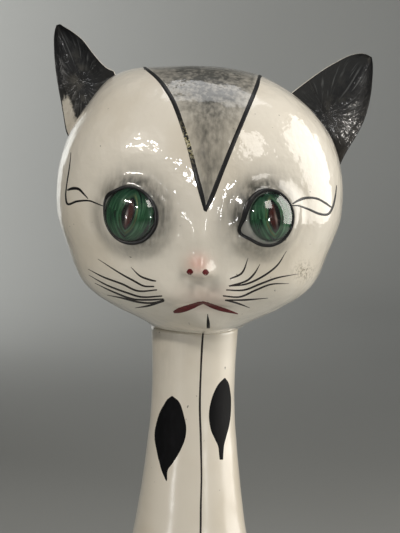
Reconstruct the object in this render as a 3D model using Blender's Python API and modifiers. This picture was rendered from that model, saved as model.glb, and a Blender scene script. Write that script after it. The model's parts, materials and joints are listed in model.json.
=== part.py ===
"""A long-necked papier-mache cat with set-in glass eyes and a head that turns on its neck.

+Z is up, the cat looks along -Y and its own left side is +X. The origin is on the ground, under
the axis of the neck. Head pieces are placed from the neck joint, the plane where the underside
of the head meets the top of the neck, and ride on one empty there.
"""

import math

import bmesh
import bpy
from mathutils import Matrix, Vector

MM = 0.001

# Clearances
GLUE_GAP = 0.3 * MM  # between pieces that are pasted, glued or resting on each other
TURN_GAP = 0.08 * MM  # radial play of the head block on its dowel
SCREW_GAP = 0.2 * MM  # radial room around the foot screw

# Body and neck, one hollow casting split into a front and a back shell
NECK_TOP = 300 * MM
NECK_RADIUS = 13.9 * MM
BODY_HALF_WIDTH = 55 * MM
BODY_FRONT = 45 * MM
BODY_BACK = 55 * MM
BODY_WALL = 3 * MM
BODY_SIDES = 36
BODY_RINGS = 26
# How far the casting has swelled from neck to body, against the share of the neck's height
BODY_SWELL = (
    (0.0, 0.88),
    (0.07, 0.97),
    (0.15, 1.0),
    (0.25, 0.93),
    (0.36, 0.79),
    (0.48, 0.60),
    (0.60, 0.39),
    (0.70, 0.225),
    (0.773, 0.117),
    (0.817, 0.066),
    (0.863, 0.027),
    (0.913, 0.0),
    (0.963, 0.0),
    (1.0, 0.012),
)
LEG_SPACING = 12 * MM  # from the middle of the chest to the middle of a front leg
LEG_RELIEF = 2.6 * MM
LEG_SPREAD = 7 * MM
LEG_TOP = 0.5  # share of the neck's height where the front legs fade into the chest
HAUNCH_RELIEF = 3.5 * MM
HAUNCH_HEIGHT = 36 * MM
HAUNCH_SPREAD = 26 * MM
HAUNCH_ANGLE = 72.0
HAUNCH_ANGLE_SPREAD = 30.0

# Foot of the figure
FELT_THICKNESS = 1.5 * MM
FELT_MARGIN = 2 * MM
BOARD_THICKNESS = 6 * MM
BOARD_INSET = 0.6 * MM
BALLAST_HEIGHT = 24 * MM
BALLAST_MARGIN = 3 * MM

# Spine: a dowel from the foot board into the head
DOWEL_RADIUS = 5 * MM
DOWEL_IN_HEAD = 38 * MM
DOWEL_SIDES = 32
PLUG_LENGTH = 18 * MM
SCREW_SHANK = 1.75 * MM
SCREW_HEAD = 3.6 * MM
SCREW_HEAD_DEPTH = 2.2 * MM
SCREW_LENGTH = 26 * MM

# Head, a hollow ball split into a face shell and a back shell
HEAD_HALF_WIDTH = 46.8 * MM
HEAD_TOP = 43.9 * MM
HEAD_BOTTOM = 43 * MM
HEAD_FRONT = 42 * MM
HEAD_BACK = 41 * MM
HEAD_SQUARENESS = 2.3
HEAD_SINK = 1.6 * MM  # how much of the ball the flat of the neck joint takes off
HEAD_SHIFT = 0.6 * MM  # the ball stands this far to the cat's left of the neck's axis
HEAD_WALL = 3 * MM
# Width of the jaw against the full ball's, by millimetres above the neck joint
JAW_TAPER = (
    (0.0, 0.86),
    (4.0, 0.8),
    (8.0, 0.86),
    (12.0, 0.925),
    (16.0, 0.952),
    (26.0, 0.952),
    (36.0, 0.99),
    (42.0, 1.0),
)
# Swellings the ears grow from: x, height above the neck joint, spread, relief, in mm
SHOULDERS = (
    (-27.0, 82.0, 11.0, 3.0),
    (30.0, 76.0, 12.0, -0.8),
)
HEAD_SIDES = 48
HEAD_RINGS = 30
BLOCK_FLANGE = 15.5 * MM
BLOCK_FLANGE_RISE = 5 * MM
BLOCK_FLANGE_THICKNESS = 5 * MM
BLOCK_BOSS = 9 * MM

# Eyes
EYE_RADIUS = 9 * MM
EYE_DOME = 6.6 * MM
EYE_EDGE = 1.2 * MM
EYE_SPACING = 20.9 * MM  # from the middle of the face
EYE_HEIGHT = 39.5 * MM  # above the neck joint
EYE_YAW = 19.0
EYE_PITCH = 2.0
EYE_PROUD = 0.4 * MM  # the edge of the glass stands this far out of the socket's floor
IRIS_THICKNESS = 0.6 * MM
PUTTY_THICKNESS = 3 * MM
LID_RELIEF = 1.3 * MM
LID_SPREAD = 2.0 * MM
HOLLOW_DEPTH = 2.4 * MM
HOLLOW_SPREAD = 15 * MM

# Modelling on the face: x, height above the neck joint, spread in x, spread in z, relief, in mm
FACE_RELIEF = (
    (0.0, 23.5, 5.2, 4.6, 4.6),
    (0.0, 34.0, 6.0, 11.0, 1.8),
    (-8.0, 16.0, 6.5, 6.0, 2.2),
    (8.0, 16.0, 6.5, 6.0, 2.2),
    (0.0, 7.0, 8.0, 5.0, 2.4),
    (-25.0, 22.0, 13.0, 10.0, 1.6),
    (25.0, 22.0, 13.0, 10.0, 1.6),
)

# Ears. Angles run from straight up towards the side; the ear stands on the ball between two.
EAR_THICKNESS = 2.4 * MM
EAR_SETBACK = 5 * MM
EAR_CUP = 6 * MM
EAR_ROOT = 0.35  # how far below its foot the leaf runs, as a share of its height
TAB_WIDTH = 9 * MM
TAB_THICKNESS = 1.8 * MM
TAB_REACH = 9 * MM
TAB_LAP = 5 * MM
# side, inner angle, outer angle, lean of the tip, height, fullness of inner and outer edge
EARS = {
    "left": (1, 40.5, 79.6, 31.4, 31.3 * MM, 0.68, 0.37),
    "right": (-1, 34.2, 64.6, 24.6, 27.9 * MM, 0.74, 0.46),
}

# Paws and tail, pasted on outside the casting
FRONT_PAW = Vector((10.5, 14.0, 8.0)) * MM
FRONT_PAW_OUT = 1 * MM
HIND_PAW = Vector((9.5, 16.0, 7.5)) * MM
HIND_PAW_ANGLE = 47.0
HIND_PAW_OUT = 1.5 * MM
TAIL_ROOT_RADIUS = 7 * MM
TAIL_TIP_RADIUS = 4.6 * MM
TAIL_START = 205.0
TAIL_END = 62.0
TAIL_POINTS = 30
TAIL_WIRE_RADIUS = 1.2 * MM
TAIL_WIRE_SHARE = 0.86
TAIL_SINK = 4.2 * MM  # how deep the tail's root is set into the body
WIRE_REACH = 3 * MM  # how far past the casting's wall the tail wire ends
WIRE_SLANT = 3  # the wire slants across the wall, so a thicker wall takes this much more of it

HEAD_CENTRE = HEAD_BOTTOM - HEAD_SINK  # above the neck joint
GROUND_GAP = FELT_THICKNESS + GLUE_GAP  # everything but the felt stands this high
BOARD_TOP = GROUND_GAP + BOARD_THICKNESS
DOWEL_FOOT = BOARD_TOP + GLUE_GAP
DOWEL_TOP = NECK_TOP + DOWEL_IN_HEAD


# ---- Small helpers ----


def smoothstep(low, high, value):
    """0 below low, 1 above high, and an even rise between them."""
    share = min(max((value - low) / (high - low), 0.0), 1.0)
    return share * share * (3 - 2 * share)


def bump(distance, spread):
    return math.exp(-((distance / spread) ** 2))


def read_curve(points, position):
    """The height at a position of the smooth curve through (position, height) points."""
    position = min(max(position, points[0][0]), points[-1][0])
    at = max(k for k in range(len(points) - 1) if points[k][0] <= position)
    (start, low), (end, high) = points[at], points[at + 1]
    before = points[max(at - 1, 0)]
    after = points[min(at + 2, len(points) - 1)]
    span = end - start
    slope_in = (high - before[1]) / (end - before[0]) * span
    slope_out = (after[1] - low) / (after[0] - start) * span
    s = (position - start) / span
    return (
        low * (1 + 2 * s) * (1 - s) ** 2
        + slope_in * s * (1 - s) ** 2
        + high * s * s * (3 - 2 * s)
        + slope_out * s * s * (s - 1)
    )


def finish_material(name, red, green, blue, roughness, metallic=0.0):
    """A Principled material with this colour, made once."""
    made = bpy.data.materials.get(name)
    if made is None:
        made = bpy.data.materials.new(name)
        made.use_nodes = True
        shader = made.node_tree.nodes["Principled BSDF"]
        shader.inputs["Base Color"].default_value = (red, green, blue, 1)
        shader.inputs["Roughness"].default_value = roughness
        shader.inputs["Metallic"].default_value = metallic
    return made


def lacquered_paper():
    return finish_material("lacquered_paper", 0.78, 0.74, 0.66, 0.15)


def black_enamel():
    return finish_material("black_enamel", 0.01, 0.01, 0.012, 0.2)


def clear_glass():
    return finish_material("clear_glass", 0.05, 0.25, 0.13, 0.02)


def green_enamel():
    return finish_material("green_enamel", 0.03, 0.2, 0.09, 0.4)


def pine_wood():
    return finish_material("pine_wood", 0.55, 0.38, 0.2, 0.6)


def plaster():
    return finish_material("plaster", 0.8, 0.78, 0.74, 0.9)


def putty():
    return finish_material("putty", 0.5, 0.46, 0.38, 0.8)


def felt():
    return finish_material("felt", 0.05, 0.12, 0.07, 0.95)


def steel():
    return finish_material("steel", 0.5, 0.5, 0.5, 0.35, 1.0)


def add_object(name, mesh, material, joint=None):
    """Puts a mesh into the figure under its node's name, on the neck joint if one is given."""
    made = bpy.data.objects.new(name, mesh)
    figure.objects.link(made)
    if material is not None:
        mesh.materials.append(material)
    made.parent = joint
    return made


def as_cutter(made):
    """Moves an object among the cutters, which aren't pieces."""
    figure.objects.unlink(made)
    cutters.objects.link(made)
    made.hide_render = True
    made.display_type = "WIRE"
    return made


def mesh_from(bm, name, smooth_angle=40.0):
    mesh = bpy.data.meshes.new(name)
    bm.to_mesh(mesh)
    bm.free()
    mesh.shade_smooth()
    mesh.set_sharp_from_angle(angle=math.radians(smooth_angle))
    return mesh


def thicken(made, wall, offset=-1.0):
    modifier = made.modifiers.new("wall", "SOLIDIFY")
    modifier.thickness = wall
    modifier.offset = offset
    modifier.use_even_offset = True


def combine(target, other, operation="DIFFERENCE"):
    modifier = target.modifiers.new(f"{operation.lower()}_{other.name}", "BOOLEAN")
    modifier.operation = operation
    modifier.solver = "EXACT"
    modifier.object = other


def box(name, low, high, joint=None):
    """A block between two corners, for cutting."""
    bm = bmesh.new()
    bmesh.ops.create_cube(bm, size=1)
    size = Vector(high) - Vector(low)
    bmesh.ops.scale(bm, vec=size, verts=bm.verts)
    bmesh.ops.translate(bm, vec=(Vector(high) + Vector(low)) / 2, verts=bm.verts)
    return as_cutter(add_object(name, mesh_from(bm, name), None, joint))


def turned(name, profile, material, joint=None, sides=DOWEL_SIDES):
    """A lathe shape from (radius, height) points that run down its outer side."""
    bm = bmesh.new()
    corners = [bm.verts.new((radius, 0, height)) for radius, height in profile]
    for upper, lower in zip(corners, corners[1:]):
        bm.edges.new((upper, lower))
    if profile[0][0] > 0:
        bm.edges.new((corners[-1], corners[0]))
    made = add_object(name, mesh_from(bm, name), material, joint)
    modifier = made.modifiers.new("turn", "SCREW")
    modifier.steps = modifier.render_steps = sides
    modifier.use_merge_vertices = True
    modifier.merge_threshold = 0.00001
    modifier.use_normal_calculate = False
    modifier.use_smooth_shade = False
    return made


# ---- Body casting ----


def body_point(angle, height, outset=0.0):
    """Where the casting's outside is, at an angle from the front towards +X and a height."""
    swell = read_curve(BODY_SWELL, height / NECK_TOP)
    half_width = NECK_RADIUS + (BODY_HALF_WIDTH - NECK_RADIUS) * swell
    depth = NECK_RADIUS + ((BODY_FRONT if math.cos(angle) > 0 else BODY_BACK) - NECK_RADIUS) * swell
    turn = abs(math.degrees(math.atan2(math.sin(angle), math.cos(angle))))
    haunch = bump(turn - HAUNCH_ANGLE, HAUNCH_ANGLE_SPREAD) * bump(height - HAUNCH_HEIGHT, HAUNCH_SPREAD)
    half_width += outset + HAUNCH_RELIEF * haunch
    depth += outset
    x = half_width * math.sin(angle)
    y = -depth * math.cos(angle)
    if math.cos(angle) > 0:
        legs = bump(abs(x) - LEG_SPACING, LEG_SPREAD)
        fade = 1 - smoothstep(LEG_TOP / 2 * NECK_TOP, LEG_TOP * NECK_TOP, height)
        y -= LEG_RELIEF * legs * fade
    return Vector((x, y, height))


def body_tube(name, low, high, outset, capped):
    """The casting's outside between two heights, as an open tube or a capped solid."""
    bm = bmesh.new()
    bmesh.ops.create_cone(bm, cap_ends=capped, segments=BODY_SIDES, radius1=1, radius2=1, depth=1)
    upright = [e for e in bm.edges if abs(e.verts[0].co.z - e.verts[1].co.z) > 0.5]
    bmesh.ops.subdivide_edges(bm, edges=upright, cuts=BODY_RINGS - 1)
    for vert in bm.verts:
        height = low + (high - low) * (vert.co.z + 0.5)
        vert.co = body_point(math.atan2(vert.co.x, -vert.co.y), height, outset)
    return add_object(name, mesh_from(bm, name), lacquered_paper())


def inner_outline(height, inset):
    """Half width, front and back depth of the room inside the casting at a height."""
    left = body_point(math.pi / 2, height).x - BODY_WALL - inset
    front = -body_point(0, height).y - BODY_WALL - inset
    back = body_point(math.pi, height).y - BODY_WALL - inset
    return left, front, back


def oval_slab(name, low, high, outline, material):
    """A flat plate whose outline is half an ellipse in front and another behind."""
    half_width, front, back = outline
    bm = bmesh.new()
    bmesh.ops.create_cone(
        bm, cap_ends=True, segments=BODY_SIDES, radius1=1, radius2=1, depth=high - low
    )
    for vert in bm.verts:
        vert.co.x *= half_width
        vert.co.y *= front if vert.co.y < 0 else back
        vert.co.z += (low + high) / 2
    return add_object(name, mesh_from(bm, name), material)


def make_body_shells():
    reach = 2 * BODY_HALF_WIDTH + BODY_BACK
    beyond = 20 * MM
    halves = {
        "body_front_shell": box("behind_seam", (-reach, -GLUE_GAP / 2, -reach), (reach, reach, 9 * reach)),
        "body_back_shell": box("before_seam", (-reach, -reach, -reach), (reach, GLUE_GAP / 2, 9 * reach)),
    }
    for name, other_half in halves.items():
        shell = body_tube(name, GROUND_GAP, NECK_TOP - GLUE_GAP, 0.0, False)
        thicken(shell, BODY_WALL)
        combine(shell, other_half)
    clearance = body_tube("body_clearance", -beyond, NECK_TOP, GLUE_GAP * 1.3, True)
    return as_cutter(clearance)


def make_foot():
    """Felt, board, ballast and the screw that holds the dowel."""
    base = inner_outline(GROUND_GAP, -BODY_WALL + FELT_MARGIN)
    oval_slab("felt_pad", 0.0, FELT_THICKNESS, base, felt())
    board = oval_slab(
        "foot_board", GROUND_GAP, BOARD_TOP, inner_outline(GROUND_GAP, BOARD_INSET), pine_wood()
    )
    ballast_low = BOARD_TOP + GLUE_GAP
    ballast = oval_slab(
        "plaster_ballast",
        ballast_low,
        ballast_low + BALLAST_HEIGHT,
        inner_outline(ballast_low, BALLAST_MARGIN),
        plaster(),
    )
    dowel_hole = turned(
        "dowel_hole",
        solid_rod(DOWEL_RADIUS + GLUE_GAP, DOWEL_FOOT - GLUE_GAP, DOWEL_FOOT + 2 * BALLAST_HEIGHT),
        None,
    )
    combine(ballast, as_cutter(dowel_hole))
    shank = SCREW_SHANK + SCREW_GAP
    countersink = SCREW_HEAD + SCREW_GAP
    screw_hole = turned(
        "screw_hole",
        (
            (0, BOARD_TOP + BALLAST_HEIGHT),
            (shank, BOARD_TOP + BALLAST_HEIGHT),
            (shank, GROUND_GAP + SCREW_HEAD_DEPTH + SCREW_GAP),
            (countersink, GROUND_GAP + GLUE_GAP),
            (countersink, 0),
            (0, 0),
        ),
        None,
    )
    combine(board, as_cutter(screw_hole))
    tip = GROUND_GAP + SCREW_LENGTH
    turned(
        "foot_screw",
        (
            (0, tip),
            (SCREW_SHANK, tip - 3 * SCREW_SHANK),
            (SCREW_SHANK, GROUND_GAP + SCREW_HEAD_DEPTH),
            (SCREW_HEAD, GROUND_GAP + GLUE_GAP),
            (0, GROUND_GAP + GLUE_GAP),
        ),
        steel(),
        sides=24,
    )
    return tip


def solid_rod(radius, low, high):
    return ((0, high), (radius, high), (radius, low), (0, low))


def make_spine(screw_tip):
    """The dowel, and the plug that centres it in the top of the neck."""
    pilot = SCREW_SHANK + SCREW_GAP
    pilot_end = screw_tip + GLUE_GAP
    turned(
        "spine_dowel",
        (
            (0, DOWEL_TOP),
            (DOWEL_RADIUS - MM, DOWEL_TOP),
            (DOWEL_RADIUS, DOWEL_TOP - MM),
            (DOWEL_RADIUS, DOWEL_FOOT),
            (pilot, DOWEL_FOOT),
            (pilot, pilot_end),
            (0, pilot_end),
        ),
        pine_wood(),
    )
    plug_radius = NECK_RADIUS - BODY_WALL - GLUE_GAP
    bore = DOWEL_RADIUS + TURN_GAP
    plug_top = NECK_TOP - GLUE_GAP
    turned(
        "neck_plug",
        (
            (plug_radius, plug_top),
            (plug_radius, plug_top - PLUG_LENGTH),
            (bore, plug_top - PLUG_LENGTH),
            (bore, plug_top),
        ),
        pine_wood(),
    )


# ---- Head, in coordinates from the neck joint ----


def face_modelling(x, height):
    """Relief of the face at a place on its front."""
    relief = 0.0
    for place_x, place_z, spread_x, spread_z, amount in FACE_RELIEF:
        across = bump(x - place_x * MM, spread_x * MM)
        relief += amount * MM * across * bump(height - place_z * MM, spread_z * MM)
    from_eye = math.hypot(abs(x) - EYE_SPACING, height - EYE_HEIGHT)
    relief -= HOLLOW_DEPTH * bump(from_eye, HOLLOW_SPREAD)
    relief += LID_RELIEF * bump(from_eye - EYE_RADIUS - LID_SPREAD / 2, LID_SPREAD)
    return relief


def head_point(direction, outset=0.0):
    """Where the head's outside is, in a direction from the middle of the ball."""
    depth = HEAD_FRONT if direction.y < 0 else HEAD_BACK
    halves = (HEAD_HALF_WIDTH, depth, HEAD_TOP if direction.z > 0 else HEAD_BOTTOM)
    spread = sum(abs(d / h) ** HEAD_SQUARENESS for d, h in zip(direction, halves))
    base = direction * spread ** (-1 / HEAD_SQUARENESS)
    height = base.z + HEAD_CENTRE
    base.x *= read_curve(JAW_TAPER, height / MM)
    relief = outset
    for place_x, place_z, spread, amount in SHOULDERS:
        away = math.hypot(base.x - place_x * MM, height - place_z * MM)
        relief += amount * MM * bump(away, spread * MM) * bump(base.y, HEAD_FRONT / 2)
    if base.y < 0:
        fade = smoothstep(0, 0.4 * HEAD_FRONT, -base.y)
        relief += fade * face_modelling(base.x, height)
    return base + direction * relief + Vector((HEAD_SHIFT, 0, HEAD_CENTRE))


def head_ball(name, outset, joint):
    """The closed outside of the head, its poles at the nose and at the back."""
    bm = bmesh.new()
    bmesh.ops.create_uvsphere(bm, u_segments=HEAD_SIDES, v_segments=HEAD_RINGS, radius=1)
    bmesh.ops.rotate(bm, verts=bm.verts, matrix=Matrix.Rotation(math.radians(90), 3, "X"))
    for vert in bm.verts:
        vert.co = head_point(vert.co.normalized(), outset)
    return add_object(name, mesh_from(bm, name), lacquered_paper(), joint)


def eye_matrix(side):
    """Puts +Z along the eye's line of sight, with the origin on the socket's rim."""
    yaw = math.radians(EYE_YAW) * side
    pitch = math.radians(EYE_PITCH)
    look = Vector((math.sin(yaw), -math.cos(yaw), math.sin(pitch))).normalized()
    outward = Vector((HEAD_SHIFT + side * EYE_SPACING, 0, EYE_HEIGHT - HEAD_CENTRE))
    front = 1 - (EYE_SPACING / HEAD_HALF_WIDTH) ** HEAD_SQUARENESS
    outward.y = -HEAD_FRONT * front ** (1 / HEAD_SQUARENESS)
    rim = outward + Vector((0, 0, HEAD_CENTRE)) - look * HOLLOW_DEPTH
    return Matrix.Translation(rim) @ look.to_track_quat("Z", "Y").to_matrix().to_4x4()


def make_head_shells(joint):
    reach = 3 * HEAD_HALF_WIDTH
    halves = {
        "face_shell": box("behind_face", (-reach, -GLUE_GAP / 2, -reach), (reach, reach, reach), joint),
        "head_back_shell": box("before_back", (-reach, -reach, -reach), (reach, GLUE_GAP / 2, reach), joint),
    }
    hole = NECK_RADIUS - BODY_WALL + GLUE_GAP
    neck_cut = turned(
        "neck_cut",
        (
            (0, BLOCK_FLANGE_RISE + HEAD_WALL),
            (hole, BLOCK_FLANGE_RISE + HEAD_WALL),
            (hole, 0),
            (reach, 0),
            (reach, -reach),
            (0, -reach),
        ),
        None,
        joint,
    )
    as_cutter(neck_cut)
    shells = {}
    for name, other_half in halves.items():
        shell = head_ball(name, 0.0, joint)
        thicken(shell, HEAD_WALL)
        combine(shell, other_half)
        combine(shell, neck_cut)
        shells[name] = shell
    return shells


def make_head_block(joint):
    """The turned socket glued into the head, which the dowel carries."""
    bore = DOWEL_RADIUS + TURN_GAP
    bore_end = DOWEL_IN_HEAD + 4 * GLUE_GAP
    throat = NECK_RADIUS - BODY_WALL
    flange_top = BLOCK_FLANGE_RISE + BLOCK_FLANGE_THICKNESS
    turned(
        "head_block",
        (
            (0, bore_end + HEAD_WALL),
            (BLOCK_BOSS, bore_end + HEAD_WALL),
            (BLOCK_BOSS, flange_top),
            (BLOCK_FLANGE, flange_top),
            (BLOCK_FLANGE, BLOCK_FLANGE_RISE),
            (throat, BLOCK_FLANGE_RISE),
            (throat, 0),
            (bore, 0),
            (bore, bore_end),
            (0, bore_end),
        ),
        pine_wood(),
        joint,
    )


def make_eye(name, side, face_shell, joint):
    """Glass dome, painted iris disc and putty bed, in one hole through the face."""
    place = eye_matrix(side)
    hole = turned(
        f"eye_hole_{name}", solid_rod(EYE_RADIUS + GLUE_GAP, -6 * HEAD_WALL, EYE_DOME), None, joint, 40
    )
    hole.matrix_local = place
    combine(face_shell, as_cutter(hole))
    edge = EYE_PROUD - EYE_EDGE
    dome = [
        (EYE_RADIUS * math.sin(turn), EYE_PROUD + EYE_DOME * math.cos(turn))
        for turn in (math.radians(a) for a in range(0, 91, 15))
    ]
    glass = turned(
        f"eye_glass_{name}", (*dome, (EYE_RADIUS, edge), (0, edge)), clear_glass(), joint, 36
    )
    iris_top = edge - GLUE_GAP
    iris = turned(
        f"eye_iris_{name}",
        solid_rod(EYE_RADIUS, iris_top - IRIS_THICKNESS, iris_top),
        green_enamel(),
        joint,
        36,
    )
    bed_top = iris_top - IRIS_THICKNESS - GLUE_GAP
    bed = turned(
        f"eye_putty_{name}", solid_rod(EYE_RADIUS, bed_top - PUTTY_THICKNESS, bed_top), putty(), joint, 36
    )
    for piece in (glass, iris, bed):
        piece.matrix_local = place


def ear_frame(side, inner, outer, lean, height, *_):
    """Middle of the ear's foot, its half width, the way across it and the way to its tip."""

    def on_ball(angle):
        turn = math.radians(angle)
        direction = Vector((side * math.sin(turn), EAR_SETBACK / HEAD_TOP, math.cos(turn)))
        return head_point(direction.normalized())

    inner_foot = on_ball(inner)
    outer_foot = on_ball(outer)
    across = outer_foot - inner_foot
    half_width = across.length / 2
    turn = math.radians(lean)
    rise = Vector((side * math.sin(turn), 0, math.cos(turn))) * height
    return (inner_foot + outer_foot) / 2, half_width, across.normalized(), rise


def ear_blade(name, frame, inner_fullness, outer_fullness, joint):
    """A cupped leaf from below the head's surface up to a rounded tip."""
    foot, half_width, across, rise = frame
    backward = Vector((0, 1, 0))
    bm = bmesh.new()
    bmesh.ops.create_grid(bm, x_segments=10, y_segments=14, size=1)
    for vert in bm.verts:
        u = vert.co.x
        share = (vert.co.y + 1) / 2
        v = share * (1.5 - 0.5 * share * share) * (0.975 + EAR_ROOT) - EAR_ROOT
        v -= 0.05 * u * u * smoothstep(0.7, 1.0, v)
        fullness = outer_fullness if u > 0 else inner_fullness
        width = half_width * (1 - max(v, 0.0)) ** fullness
        cup = EAR_CUP * (1 - u * u) * (1 - 0.55 * max(v, 0.0))
        vert.co = foot + rise * v + across * u * width + backward * cup
    bmesh.ops.recalc_face_normals(bm, faces=bm.faces)
    ear = add_object(name, mesh_from(bm, name), black_enamel(), joint)
    thicken(ear, EAR_THICKNESS, 0.0)
    return ear


def slanted_block(name, frame, width, thickness, low, high, joint):
    """A block along an ear's middle, from low to high above its foot."""
    foot, half_width, across, rise = frame
    up = rise.normalized()
    level = (across - up * across.dot(up)).normalized()
    backward = up.cross(level)
    if backward.y < 0:
        backward = -backward
    turned_axes = Matrix((level, backward, level.cross(backward))).transposed()
    bm = bmesh.new()
    bmesh.ops.create_cube(bm, size=1)
    bmesh.ops.scale(bm, vec=(width, thickness, high - low), verts=bm.verts)
    bmesh.ops.rotate(bm, verts=bm.verts, matrix=turned_axes)
    middle = foot + up * (low + high) / 2 + Vector((0, EAR_CUP, 0))
    bmesh.ops.translate(bm, vec=middle, verts=bm.verts)
    return as_cutter(add_object(name, mesh_from(bm, name), None, joint))


def make_ear(name, shape, shells, clearance, joint):
    """An ear pasted on the head, with a tab through a slot in the back shell."""
    frame = ear_frame(*shape)
    ear = ear_blade(f"ear_{name}", frame, *shape[5:], joint)
    combine(ear, clearance)
    tab = slanted_block(
        f"ear_tab_{name}", frame, TAB_WIDTH, TAB_THICKNESS, -TAB_REACH, TAB_LAP, joint
    )
    combine(ear, tab, "UNION")
    slot = slanted_block(
        f"ear_slot_{name}",
        frame,
        TAB_WIDTH + 2 * GLUE_GAP,
        TAB_THICKNESS + 2 * GLUE_GAP,
        -TAB_REACH - 2 * GLUE_GAP,
        TAB_LAP,
        joint,
    )
    combine(shells["head_back_shell"], slot)


def make_head():
    joint = bpy.data.objects.new("head_turn", None)
    figure.objects.link(joint)
    joint.location = (0, 0, NECK_TOP)
    shells = make_head_shells(joint)
    make_head_block(joint)
    clearance = as_cutter(head_ball("head_clearance", GLUE_GAP * 1.3, joint))
    for name, side in (("left", 1), ("right", -1)):
        make_eye(name, side, shells["face_shell"], joint)
        make_ear(name, EARS[name], shells, clearance, joint)


# ---- Paws and tail ----


def make_paw(name, angle, size, out, clearance):
    """A rounded lump at the foot of the casting, flat underneath."""
    turn = math.radians(angle)
    height = size.z * 0.8
    centre = body_point(turn, height)
    outward = Vector((math.sin(turn), -math.cos(turn), 0))
    centre += outward * out
    centre.z = GROUND_GAP + height
    bm = bmesh.new()
    bmesh.ops.create_uvsphere(bm, u_segments=20, v_segments=12, radius=1)
    bmesh.ops.scale(bm, vec=size, verts=bm.verts)
    bmesh.ops.rotate(bm, verts=bm.verts, matrix=Matrix.Rotation(turn * 0.6, 3, "Z"))
    bmesh.ops.translate(bm, vec=centre, verts=bm.verts)
    for vert in bm.verts:
        vert.co.z = max(vert.co.z, GROUND_GAP)
    bmesh.ops.remove_doubles(bm, verts=bm.verts, dist=0.01 * MM)
    bmesh.ops.dissolve_degenerate(bm, edges=bm.edges, dist=0.01 * MM)
    paw = add_object(name, mesh_from(bm, name), lacquered_paper())
    combine(paw, clearance)
    return paw


def tail_centre(share):
    """The tail's middle line, from its root behind the body round to its tip."""
    angle = math.radians(TAIL_START + (TAIL_END - TAIL_START) * share)
    radius = tail_radius(share)
    low = GROUND_GAP + radius + GLUE_GAP
    lift = 6 * MM * (1 - smoothstep(0, 0.35, share))
    sunk = (1 - smoothstep(-0.04, 0.16, share)) * (radius + TAIL_SINK)
    point = body_point(angle, low + lift, radius + 2 * GLUE_GAP - sunk)
    point.z = low + lift
    return point


def tail_radius(share):
    return TAIL_ROOT_RADIUS + (TAIL_TIP_RADIUS - TAIL_ROOT_RADIUS) * min(max(share, 0), 1)


def tube(name, points, radii, material, sides_level=2):
    """A round tube along points, as a mesh with welded caps."""
    curve = bpy.data.curves.new(name, "CURVE")
    curve.dimensions = "3D"
    curve.bevel_depth = 1.0
    curve.bevel_resolution = sides_level
    curve.use_fill_caps = True
    spline = curve.splines.new("POLY")
    spline.points.add(len(points) - 1)
    for place, point, radius in zip(spline.points, points, radii):
        place.co = (*point, 1)
        place.radius = radius
    drawn = bpy.data.objects.new(f"{name}_line", curve)
    figure.objects.link(drawn)
    bpy.context.view_layer.update()
    graph = bpy.context.evaluated_depsgraph_get()
    mesh = bpy.data.meshes.new_from_object(drawn.evaluated_get(graph))
    bm = bmesh.new()
    bm.from_mesh(mesh)
    bmesh.ops.remove_doubles(bm, verts=bm.verts, dist=0.01 * MM)
    bmesh.ops.recalc_face_normals(bm, faces=bm.faces)
    made = add_object(name, mesh_from(bm, name), material)
    made.matrix_world = drawn.matrix_world
    bpy.data.objects.remove(drawn)
    return made


def make_tail(clearance):
    """The rolled-paper tail and the wire that stiffens it and holds it to the back shell."""
    shares = [k / (TAIL_POINTS - 1) for k in range(TAIL_POINTS)]
    points = [tail_centre(s) for s in shares]
    radii = [tail_radius(s) * (1 - max(s - 0.93, 0) / 0.07 * 0.45) for s in shares]
    tail = tube("tail", points, radii, lacquered_paper(), 3)
    combine(tail, clearance)
    wire_shares = [s * TAIL_WIRE_SHARE for s in shares]
    wire_points = [tail_centre(s) for s in wire_shares]
    inward = (wire_points[0] - wire_points[1]).normalized()
    reach = WIRE_REACH + WIRE_SLANT * BODY_WALL
    wire_points.insert(0, wire_points[0] + inward * reach)
    room_points = [tail_centre(s) for s in (*wire_shares, TAIL_WIRE_SHARE + 0.01)]
    room_points.insert(0, wire_points[0] + inward * reach)
    tube("tail_wire", wire_points, [TAIL_WIRE_RADIUS] * len(wire_points), steel(), 1)
    room = tube(
        "tail_wire_room", room_points, [TAIL_WIRE_RADIUS + GLUE_GAP] * len(room_points), None, 1
    )
    as_cutter(room)
    combine(tail, room)
    combine(bpy.data.objects["body_back_shell"], room)


def main():
    for old in list(bpy.data.objects):
        bpy.data.objects.remove(old)
    bpy.context.scene.collection.children.link(figure)
    bpy.context.scene.collection.children.link(cutters)
    clearance = make_body_shells()
    screw_tip = make_foot()
    make_spine(screw_tip)
    make_head()
    for name, side in (("left", 1), ("right", -1)):
        front_angle = math.degrees(math.asin(LEG_SPACING / BODY_HALF_WIDTH))
        make_paw(f"front_paw_{name}", side * front_angle, FRONT_PAW, FRONT_PAW_OUT, clearance)
        make_paw(f"hind_paw_{name}", side * HIND_PAW_ANGLE, HIND_PAW, HIND_PAW_OUT, clearance)
    make_tail(clearance)


figure = bpy.data.collections.new("long_necked_cat")
cutters = bpy.data.collections.new("cutters")
main()
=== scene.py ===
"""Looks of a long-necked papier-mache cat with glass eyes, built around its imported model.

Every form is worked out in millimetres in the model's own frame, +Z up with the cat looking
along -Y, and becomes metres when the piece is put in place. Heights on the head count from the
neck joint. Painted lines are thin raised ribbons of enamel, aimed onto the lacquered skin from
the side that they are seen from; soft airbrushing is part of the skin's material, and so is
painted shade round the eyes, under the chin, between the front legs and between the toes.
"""

import json
import logging
import math
from dataclasses import dataclass, field
from enum import Enum
from typing import Callable, Iterable, Sequence, Union

import bmesh
import bpy
from mathutils import Matrix, Vector, noise
from mathutils.bvhtree import BVHTree


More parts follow.
